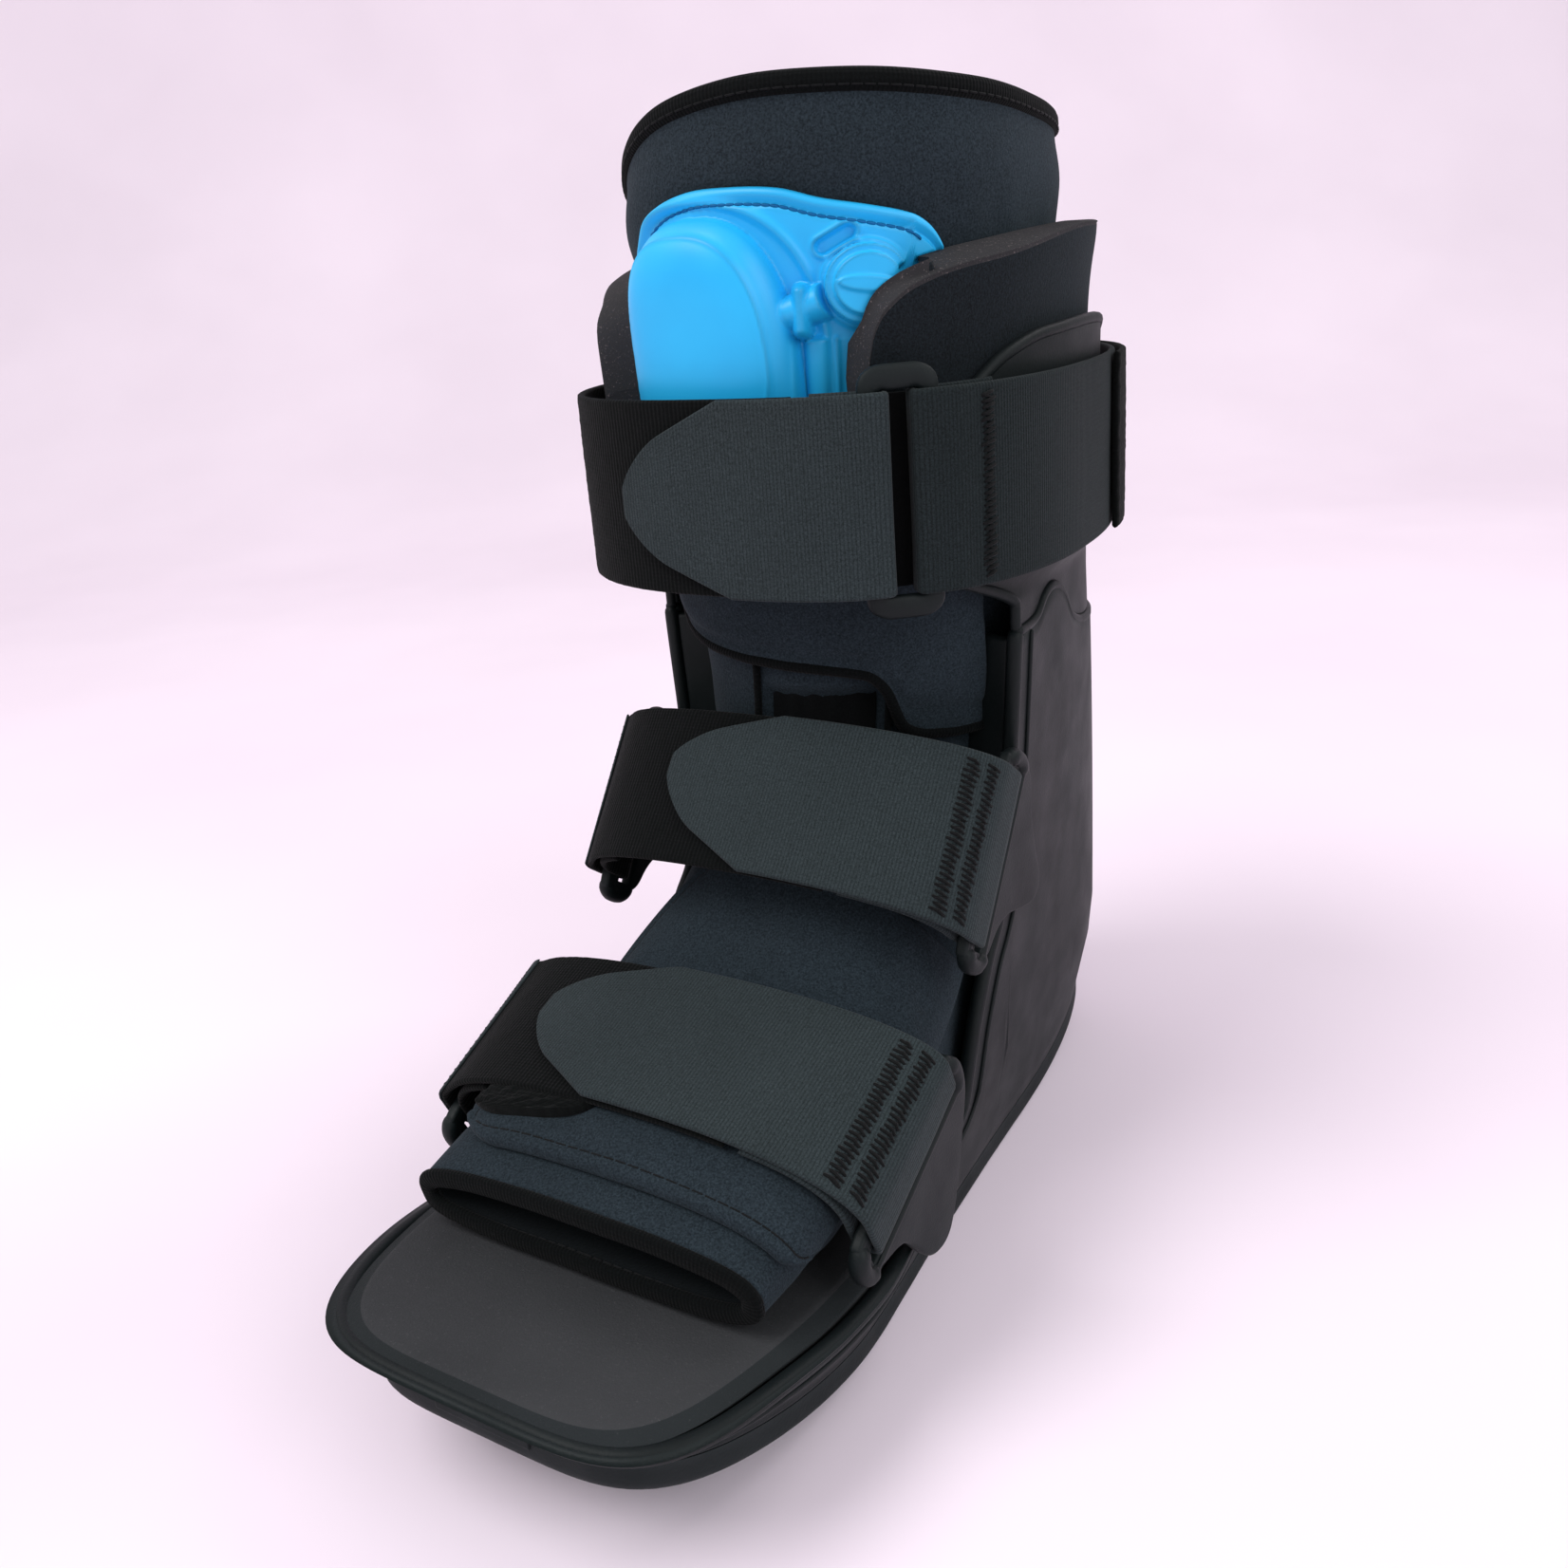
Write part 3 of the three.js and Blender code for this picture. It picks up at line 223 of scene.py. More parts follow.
def edge_profile(radius, roundness=2, steps=5):
    """Distances from a border and the share of the thickness there, from the border inwards."""
    turn = np.linspace(0, math.pi / 2, steps + 1)[:-1]
    return radius * (1 - np.cos(turn) ** (2 / roundness)), np.sin(turn) ** (2 / roundness)


def spread(length, step, radius, roundness=2, steps=5):
    """Positions over a length with close steps at both ends, and the share of the thickness at each."""
    near, share = edge_profile(radius, roundness, steps)
    count = max(2, int(round((length - 2 * radius) / step)) + 1)
    middle = np.linspace(radius, length - radius, count)
    at = np.concatenate([near, middle, length - near[::-1]])
    return at, np.concatenate([share, np.ones(count), share[::-1]])


def slab(name, point, u, v, half, materials, uv=None, edge_material=False):
    """A closed sheet of thickness 2 * half with rounded borders. u and v are (positions, shares);
    point(U, V, offset) gives points."""
    U, V = np.meshgrid(u[0], v[0], indexing="ij")
    share = np.outer(u[1], v[1])
    outer = point(U, V, half * share)
    inner = point(U, V, -half * share)
    rows, columns = U.shape
    top = np.arange(rows * columns).reshape(rows, columns)
    bottom = top.copy()
    bottom[1:-1, 1:-1] = rows * columns + np.arange((rows - 2) * (columns - 2)).reshape(rows - 2, -1)
    points = np.concatenate([outer.reshape(-1, 3), inner[1:-1, 1:-1].reshape(-1, 3)])
    faces = np.concatenate([grid_faces(top), grid_faces(bottom)[:, ::-1]])
    if uv is None:
        flat = np.stack([U, V], -1) / 10
    else:
        flat = uv(U, V)
    maps = np.concatenate([flat.reshape(-1, 2), flat[1:-1, 1:-1].reshape(-1, 2)])
    pick = None
    if edge_material:
        full = share > 0.999
        flags = np.concatenate([full.ravel(), full[1:-1, 1:-1].ravel()])
        pick = np.where(flags[faces].all(1), 0, 1)
    return add_mesh(name, points, faces, materials, maps, pick)


def along(path, closed=False):
    """Running length of a path, from 0."""
    ends = np.vstack([path, path[:1]]) if closed else path
    return np.concatenate([[0], np.cumsum(np.linalg.norm(np.diff(ends, axis=0), axis=1))])


def resample(values, s, targets):
    """Values given at lengths s, interpolated at the target lengths."""
    flat = values.reshape(len(s), -1)
    got = np.stack([np.interp(targets, s, flat[:, i]) for i in range(flat.shape[1])], -1)
    return got.reshape(len(targets), *values.shape[1:])


def unit(v):
    return v / np.maximum(np.linalg.norm(v, axis=-1, keepdims=True), 1e-9)


def sweep_points(path, normals, across, out, closed=False, roundness=2.0, sides=12):
    """Rings of a rounded section along a path. across and out are its half sizes."""
    if closed:
        tangent = unit(np.roll(path, -1, 0) - np.roll(path, 1, 0))
    else:
        tangent = unit(np.gradient(path, axis=0))
    side = unit(np.cross(tangent, normals))
    up = np.cross(side, tangent)
    turn = np.arange(sides) * 2 * math.pi / sides
    a = power(np.cos(turn), 2 / roundness)
    b = power(np.sin(turn), 2 / roundness)
    scale = np.ones(len(path))
    centre = path.copy()
    if not closed:
        steps = np.linspace(0, math.pi / 2, 5)[:-1]
        size = np.broadcast_to(np.minimum(across, out), len(path))
        lead = path[0] - tangent[0] * (size[0] * np.sin(math.pi / 2 - steps))[:, None]
        tail = path[-1] + tangent[-1] * (size[-1] * np.sin(math.pi / 2 - steps[::-1]))[:, None]
        centre = np.vstack([lead, path, tail])
        grow = np.maximum(np.cos(math.pi / 2 - steps), 0.02)
        scale = np.concatenate([grow, scale, grow[::-1]])
        side = np.vstack([np.repeat(side[:1], 4, 0), side, np.repeat(side[-1:], 4, 0)])
        up = np.vstack([np.repeat(up[:1], 4, 0), up, np.repeat(up[-1:], 4, 0)])
        across = np.concatenate([np.repeat(np.broadcast_to(across, len(path))[:1], 4),
                                 np.broadcast_to(across, len(path)),
                                 np.repeat(np.broadcast_to(across, len(path))[-1:], 4)])
        out = np.concatenate([np.repeat(np.broadcast_to(out, len(path))[:1], 4),
                              np.broadcast_to(out, len(path)),
                              np.repeat(np.broadcast_to(out, len(path))[-1:], 4)])
    across = np.broadcast_to(across, len(centre)) * scale
    out = np.broadcast_to(out, len(centre)) * scale
    return (
        centre[:, None]
        + side[:, None] * (across[:, None] * a)[..., None]
        + up[:, None] * (out[:, None] * b)[..., None]
    )


def sweep(name, path, normals, across, out, material, closed=False, roundness=2.0, sides=12):
    rings = sweep_points(path, normals, across, out, closed, roundness, sides)
    count = len(rings)
    index = np.arange(count * sides).reshape(count, sides)
    faces = [list(f) for f in grid_faces(index, closed, True)]
    if not closed:
        faces += [list(index[0][::-1]), list(index[-1])]
    s = along(rings.mean(1))
    uv = np.stack([np.repeat(s[:, None], sides, 1), np.repeat(np.arange(sides)[None] * 1.0, count, 0)], -1)
    return add_mesh(name, rings, faces, [material], uv / 10)


def threads(name, paths, radius, material, sides=6):
    """Many short round threads as one piece."""
    points, faces, start = [], [], 0
    for path in paths:
        path = np.asarray(path, float)
        guide = np.array([0.31, 0.53, 0.79])
        rings = sweep_points(path, np.repeat(guide[None], len(path), 0), radius, radius, sides=sides)
        count = len(rings)
        index = start + np.arange(count * sides).reshape(count, sides)
        points.append(rings.reshape(-1, 3))
        faces += [list(f) for f in grid_faces(index, False, True)]
        faces += [list(index[0][::-1]), list(index[-1])]
        start += count * sides
    return add_mesh(name, np.concatenate(points), faces, [material])


# Materials


def new_material(name):
    material = bpy.data.materials.new(name)
    material.use_nodes = True
    nodes = material.node_tree.nodes
    return material, nodes, material.node_tree.links, nodes["Principled BSDF"]


def texture(nodes, links, kind, scale, source, stretch=None, **inputs):
    """A procedural texture on object coordinates in metres, or on the weave map."""
    if source == "object":
        coords = nodes.new("ShaderNodeTexCoord").outputs["Object"]
    else:
        uv_map = nodes.new("ShaderNodeUVMap")
        uv_map.uv_map = "weave"
        coords = uv_map.outputs["UV"]
    if stretch:
        mapping = nodes.new("ShaderNodeMapping")
        mapping.inputs["Scale"].default_value = stretch
        links.new(coords, mapping.inputs["Vector"])
        coords = mapping.outputs["Vector"]
    node = nodes.new(kind)
    links.new(coords, node.inputs["Vector"])
    node.inputs["Scale"].default_value = scale
    for key, value in inputs.items():
        node.inputs[key.replace("_", " ")].default_value = value
    return node


def ramp(nodes, links, source, stops):
    node = nodes.new("ShaderNodeValToRGB")
    while len(node.color_ramp.elements) < len(stops):
        node.color_ramp.elements.new(0.5)
    for element, (position, colour) in zip(node.color_ramp.elements, stops):
        element.position = position
        element.color = (*colour, 1) if hasattr(colour, "__len__") else (colour, colour, colour, 1)
    links.new(source, node.inputs["Fac"])
    return node.outputs["Color"]


def blend_colours(nodes, links, kind, factor, a, b):
    node = nodes.new("ShaderNodeMix")
    node.data_type = "RGBA"
    node.blend_type = kind
    for socket, value in ((node.inputs[0], factor), (node.inputs[6], a), (node.inputs[7], b)):
        if hasattr(value, "links"):
            links.new(value, socket)
        elif hasattr(value, "__len__"):
            socket.default_value = (*value, 1)
        else:
            socket.default_value = value
    return node.outputs[2]


def add_bump(nodes, links, shader, heights):
    """Bumps in a chain: (height, strength, distance in mm), the coarsest first."""
    last = None
    for height, strength, distance in heights:
        node = nodes.new("ShaderNodeBump")
        node.inputs["Strength"].default_value = strength
        node.inputs["Distance"].default_value = distance * MM
        links.new(height, node.inputs["Height"])
        if last:
            links.new(last, node.inputs["Normal"])
        last = node.outputs["Normal"]
    links.new(last, shader.inputs["Normal"])


def srgb(*values):
    return tuple(((v / 255 + 0.055) / 1.055) ** 2.4 if v > 10 else v / 255 / 12.92 for v in values)


def plastic_material(name, dark, light, roughness, grain):
    material, nodes, links, shader = new_material(name)
    cloud = texture(nodes, links, "ShaderNodeTexNoise", 22, "object", Detail=5)
    colour = ramp(nodes, links, cloud.outputs["Fac"], [(0.35, dark), (0.7, light)])
    # Painted highlight: sharp outer edges, found by pointiness, are mixed towards a lighter copy of the
    # colour.
    pointiness_for_painted_light = nodes.new("ShaderNodeNewGeometry").outputs["Pointiness"]
    edge = ramp(nodes, links, pointiness_for_painted_light, [(0.52, 0.0), (0.62, 0.5)])
    painted_highlight_colour = tuple(min(1, c * 1.7 + 0.004) for c in light)
    links.new(blend_colours(nodes, links, "MIX", edge, colour, painted_highlight_colour), shader.inputs["Base Color"])
    gloss = texture(nodes, links, "ShaderNodeTexNoise", 60, "object", Detail=6)
    links.new(
        ramp(nodes, links, gloss.outputs["Fac"], [(0.3, roughness - 0.06), (0.75, roughness + 0.08)]),
        shader.inputs["Roughness"],
    )
    fine = texture(nodes, links, "ShaderNodeTexVoronoi", grain, "object")
    rough = texture(nodes, links, "ShaderNodeTexNoise", grain * 0.6, "object", Detail=3)
    add_bump(nodes, links, shader, [
        (rough.outputs["Fac"], 0.25, 0.15),
        (fine.outputs["Distance"], 0.30, 0.12),
    ])
    shader.inputs["Specular IOR Level"].default_value = 0.18
    return material


def knit_material(name, dark, light, pitch=0.9):
    """Brushed knit: fine wales, lint and broad shading."""
    material, nodes, links, shader = new_material(name)
    lint = texture(nodes, links, "ShaderNodeTexNoise", 1700, "object", Detail=3, Roughness=0.7)
    broad = texture(nodes, links, "ShaderNodeTexNoise", 24, "object", Detail=3)
    colour = ramp(nodes, links, lint.outputs["Fac"], [(0.36, dark), (0.68, light)])
    shade = ramp(nodes, links, broad.outputs["Fac"], [(0.3, 0.82), (0.7, 1.0)])
    links.new(blend_colours(nodes, links, "MULTIPLY", 1.0, colour, shade), shader.inputs["Base Color"])
    wales = texture(nodes, links, "ShaderNodeTexVoronoi", 1000 / pitch, "object", stretch=(1, 1, 0.6))
    add_bump(nodes, links, shader, [
        (wales.outputs["Distance"], 0.35, 0.25),
        (lint.outputs["Fac"], 0.4, 0.25),
    ])
    shader.inputs["Roughness"].default_value = 0.95
    shader.inputs["Specular IOR Level"].default_value = 0.12
    shader.inputs["Sheen Weight"].default_value = 0.1
    shader.inputs["Sheen Roughness"].default_value = 0.5
    shader.inputs["Sheen Tint"].default_value = (*srgb(150, 165, 172), 1)
    return material


def woven_material(name, dark, light, rib, cross, roughness=0.85, sheen=0.04, relief=0.4):
    """Woven strap on the weave map, where 1 is 10 mm: ribs at that pitch in mm along and across it."""
    material, nodes, links, shader = new_material(name)
    ribs = texture(nodes, links, "ShaderNodeTexWave", math.pi / rib, "weave", Distortion=0.8, Detail=2)
    ribs.bands_direction = "Y"
    picks = texture(nodes, links, "ShaderNodeTexWave", math.pi / cross, "weave", Distortion=0.8, Detail=2)
    picks.bands_direction = "X"
    yarn = texture(nodes, links, "ShaderNodeTexNoise", 2300, "object", Detail=3, Roughness=0.7)
    broad = texture(nodes, links, "ShaderNodeTexNoise", 30, "object", Detail=3)
    colour = ramp(nodes, links, yarn.outputs["Fac"], [(0.34, dark), (0.68, light)])
    shade = ramp(nodes, links, broad.outputs["Fac"], [(0.3, 0.86), (0.7, 1.0)])
    tone = blend_colours(nodes, links, "MULTIPLY", 1.0, colour, shade)
    line = ramp(nodes, links, picks.outputs["Fac"], [(0.0, 0.66), (0.5, 1.0)])
    links.new(blend_colours(nodes, links, "MULTIPLY", 1.0, tone, line), shader.inputs["Base Color"])
    add_bump(nodes, links, shader, [
        (ribs.outputs["Fac"], relief * 0.6, 0.25),
        (picks.outputs["Fac"], relief, 0.3),
        (yarn.outputs["Fac"], 0.35, 0.2),
    ])
    shader.inputs["Roughness"].default_value = roughness
    shader.inputs["Specular IOR Level"].default_value = 0.1
    shader.inputs["Sheen Weight"].default_value = sheen
    return material


def foam_material(name, dark, light, speck, pore, fleck=0.62):
    """Cut foam: pores, a speckle of lighter grains and a dry surface."""
    material, nodes, links, shader = new_material(name)
    cells = texture(nodes, links, "ShaderNodeTexVoronoi", 1000 / pore, "object")
    grain = texture(nodes, links, "ShaderNodeTexNoise", 1400, "object", Detail=4, Roughness=0.8)
    broad = texture(nodes, links, "ShaderNodeTexNoise", 18, "object", Detail=4)
    colour = ramp(nodes, links, broad.outputs["Fac"], [(0.3, dark), (0.7, light)])
    dots = ramp(nodes, links, grain.outputs["Fac"], [(fleck, 0.0), (fleck + 0.08, 1.0)])
    links.new(blend_colours(nodes, links, "MIX", dots, colour, speck), shader.inputs["Base Color"])
    add_bump(nodes, links, shader, [
        (cells.outputs["Distance"], 0.35, 0.3),
        (grain.outputs["Fac"], 0.5, 0.3),
    ])
    shader.inputs["Roughness"].default_value = 0.92
    shader.inputs["Specular IOR Level"].default_value = 0.2
    return material


def pump_material():
    material, nodes, links, shader = new_material("pump_blue")
    broad = texture(nodes, links, "ShaderNodeTexNoise", 26, "object", Detail=3)
    colour = ramp(nodes, links, broad.outputs["Fac"], [(0.3, srgb(26, 166, 226)), (0.7, srgb(38, 182, 238))])
    # Painted shade: hollows and creases, found by pointiness, are multiplied darker.
    pointiness_for_painted_light = nodes.new("ShaderNodeNewGeometry").outputs["Pointiness"]
    edge = ramp(nodes, links, pointiness_for_painted_light, [(0.42, 0.62), (0.5, 1.0), (0.58, 1.0)])
    links.new(blend_colours(nodes, links, "MULTIPLY", 1.0, colour, edge), shader.inputs["Base Color"])
    grain = texture(nodes, links, "ShaderNodeTexNoise", 1500, "object", Detail=3)
    links.new(
        ramp(nodes, links, broad.outputs["Fac"], [(0.3, 0.38), (0.7, 0.48)]),
        shader.inputs["Roughness"],
    )
    add_bump(nodes, links, shader, [(grain.outputs["Fac"], 0.08, 0.2)])
    shader.inputs["Specular IOR Level"].default_value = 0.35
    return material


PLASTIC = plastic_material("moulded_plastic", srgb(10, 16, 17), srgb(16, 23, 24), 0.55, 1500)
RUBBER = plastic_material("sole_rubber", srgb(13, 19, 20), srgb(20, 27, 28), 0.66, 1100)
KNIT = knit_material("bootie_knit", srgb(20, 27, 32), srgb(43, 53, 60))
FACING = knit_material("pad_facing", srgb(11, 14, 17), srgb(27, 34, 39), 0.8)
TRIM = woven_material("edge_binding", srgb(2, 3, 3), srgb(8, 12, 13), 1.2, 1.1, 0.95, 0.02)
HOOK = woven_material("hook_tape", srgb(30, 37, 38), srgb(53, 62, 65), 1.3, 1.0, 0.85, 0.04, 0.28)
PILE = woven_material("loop_pile", srgb(2, 3, 3), srgb(9, 13, 13), 1.1, 1.3, 0.98, 0.03, 0.4)
STRAP_BACK = woven_material("strap_tape", srgb(16, 22, 23), srgb(36, 44, 46), 1.3, 1.0, 0.85, 0.03, 0.28)
THREAD = woven_material("sewing_thread", srgb(8, 9, 10), srgb(24, 26, 28), 0.6, 0.6, 0.7)
CUT_FOAM = foam_material("cut_foam", srgb(38, 38, 40), srgb(52, 51, 53), srgb(112, 102, 103), 0.55, 0.60)
EVA = foam_material("insole_foam", srgb(43, 44, 46), srgb(52, 53, 55), srgb(68, 68, 70), 0.7, 0.60)
# Darker copy of the insole foam for its bevelled sides: painted shade.
EVA_PAINTED_SHADE = foam_material("insole_edge_painted_shade", srgb(26, 30, 31), srgb(33, 37, 39), srgb(48, 51, 53), 0.7, 0.62)
# Near-black cloth laid into an opening and a gap where only shade would show: painted shade.
PAINTED_SHADE_CLOTH = knit_material("painted_shade_cloth", srgb(3, 3, 4), srgb(7, 8, 9))
# Darker copy of the knit for the bootie's inner faces: painted shade.
INNER_KNIT_PAINTED_SHADE = knit_material("inner_knit_painted_shade", srgb(6, 8, 9), srgb(14, 18, 21))
PUMP = pump_material()

# Shell and sole forms

PLAN_ROWS = [
    (0.00, 1.00), (0.10, 0.98), (0.20, 1.00), (0.27, 0.93), (0.32, 0.78), (0.38, 0.55),
    (0.45, 0.36), (0.55, 0.19), (0.65, 0.06), (0.76, 0.00), (1.00, 0.00),
]
fore_share = curve(PLAN_ROWS, 1)
FLAT_MIDDLE = HALF_LENGTH * 0.125


def share_of(y):
    return np.clip(y / SOLE_LENGTH + 0.5, 0, 1)


def half_width(y):
    return mix(HALF_HEEL, HALF_FORE, fore_share(share_of(y)))


def inset_at(y):
    return mix(HEEL_INSET, TOE_INSET, fore_share(share_of(y)))


def tread_z(y):
    front, back = FLAT_MIDDLE - FLAT_LENGTH / 2, FLAT_MIDDLE + FLAT_LENGTH / 2
    toe = TOE_SPRING * (np.maximum(front - y, 0) / (HALF_LENGTH + front)) ** 1.75
    heel = HEEL_RISE * (np.maximum(y - back, 0) / (HALF_LENGTH - back)) ** 2
    return toe + heel


def floor_z(y):
    return FOOTBED_HEIGHT + FOOTBED_RISE * smooth((0.62 - share_of(y)) / 0.62) ** 0.9


def sole_top_z(y):
    return floor_z(y) + GAP + INSOLE_THICKNESS


RIM_ROWS = [
    (0.00, 1.00, 0.00), (0.12, 0.96, 0.00), (0.22, 0.86, 0.00), (0.33, 0.77, 0.00), (0.42, 0.83, 0.00),
    (0.47, 0.92, 0.01), (0.50, 1.00, 0.01), (0.53, 1.00, 0.18), (0.56, 1.00, 0.30), (0.59, 1.00, 0.38),
    (0.606, 1.00, 0.48), (0.614, 1.00, 0.74), (0.618, 1.00, 1.00), (1.00, 1.00, 1.00),
]
SEAM_ROWS = [
    (0.60, 0.005), (0.64, 0.000), (0.67, 0.005), (0.695, 0.028), (0.725, 0.034), (0.76, 0.012),
    (0.80, -0.045), (0.88, -0.080), (1.00, -0.090),
]
low_rim, high_rim = curve(RIM_ROWS, 1), curve(RIM_ROWS, 2)
seam_rise = curve(SEAM_ROWS, 1)
UPRIGHT_FRONT = SOLE_LENGTH * 0.118
UPRIGHT_BACK = math.pi - math.atan2((BACK_OPENING_WIDTH / 2 + 3) / (HALF_HEEL + ANKLE_FLARE), 0.95)
SEAM_CREST = SHELL_HEIGHT * 1.034


def rim_z(y):
    low = RIM_HEIGHT * low_rim(share_of(y))
    seam = SHELL_HEIGHT * (1 + seam_rise(share_of(y)))
    return low + (seam - low) * np.clip(high_rim(share_of(y)), 0, 1)


def wall(angle, z, grow=0.0):
    """Wall of the shell in plan, from the toe (0) over the right side (90 degrees) to the heel (180)."""
    c, s = np.cos(angle), np.sin(angle)
    up = np.clip((z - RIM_HEIGHT) / (SHELL_HEIGHT - RIM_HEIGHT), 0, 1)
    n = np.where(c < 0, mix(5, 3.4, up), 5)
    reach = HALF_LENGTH - np.where(c < 0, HEEL_INSET * up, 0)
    r = (np.abs(s) ** n + np.abs(c) ** n) ** (-1 / n)
    y0 = -HALF_LENGTH * r * c
    foot = tread_z(y0) + TREAD_THICKNESS
    low = np.minimum(rim_z(y0), RIM_HEIGHT)
    inset = inset_at(y0) * (1 - np.clip((z - foot) / np.maximum(1, low - foot), 0, 1))
    out = grow - inset
    x = (half_width(y0) + ANKLE_FLARE * up + out) * r * s
    y = -(reach + out * 0.7) * r * c
    return np.stack(np.broadcast_arrays(x, y, z), -1)


def wall_normal(angle, z):
    """Outward direction of the wall, level."""
    ahead, behind = wall(angle + 0.01, z), wall(angle - 0.01, z)
    way = unit(ahead - behind)
    return np.stack([way[..., 1], -way[..., 0], np.zeros_like(way[..., 0])], -1)


def rim_at(angle):
    """Height of the shell's edge, with the notch at the back."""
    point = wall(angle, RIM_HEIGHT * 1.0)
    top = rim_z(point[..., 1]) - GAP
    half = BACK_OPENING_WIDTH / 2
    x = np.abs(wall(angle, BACK_OPENING_SILL + 30.0)[..., 0])
    bowl = BACK_OPENING_SILL + half * 0.7 * (1 - np.sqrt(np.clip(1 - x / half, 0, 1))) ** 2
    side = BACK_OPENING_SILL + half * 0.7 + np.maximum(x - half, 0) / (half * 0.15) * 92
    notch = np.where(x < half, bowl, side)
    return np.where(np.cos(angle) < 0, np.minimum(top, notch), top)


def even_columns(top, step, start=0.0, end=math.pi):
    """Angles from start to end, evenly spaced along the edge top(angle)."""
    fine = np.linspace(start, end, 6000)
    s = along(wall(fine, top(fine)))
    return np.interp(np.linspace(0, s[-1], int(s[-1] / step) + 1), s, fine)


def mirrored(right):
    """Angles of the right side, carried on over the left side."""
    return np.concatenate([right, 2 * math.pi - right[1:-1][::-1]])


def ring_body(name, rings, materials, slot, nodes=(), bands=()):
    """A closed body from rings that mirror across the middle, ends closed by strips."""
    rings = np.asarray(rings)
    count = rings.shape[1]
    index = np.arange(rings.shape[0] * count).reshape(-1, count)
    faces = [list(f) for f in grid_faces(index, False, True)]
    for base, flip in ((0, True), (len(rings) - 1, False)):
        for j in range(count // 2):
            strip = [j, j + 1, (count - j - 1) % count, (count - j) % count]
            corners = list(dict.fromkeys(int(index[base][k]) for k in strip))
            faces.append(corners[::-1] if flip else corners)
    s = np.repeat(along(rings[0], True)[:-1][None], len(rings), 0)
    pick = None
    if bands:
        pick = np.zeros(len(faces), int)
        pick[:len(bands) * count] = np.repeat(bands, count)
    piece = add_mesh(name, rings, faces, materials, np.stack([s, rings[..., 2]], -1) / 10, pick)
    return dress(piece, slot, *nodes)


def plate_ring(columns, height, grow=0.0):
    rough = wall(columns, np.zeros_like(columns), grow)
    level = height(rough[:, 1])
    point = wall(columns, level, grow)
    return np.stack([point[:, 0], point[:, 1], height(point[:, 1])], -1)


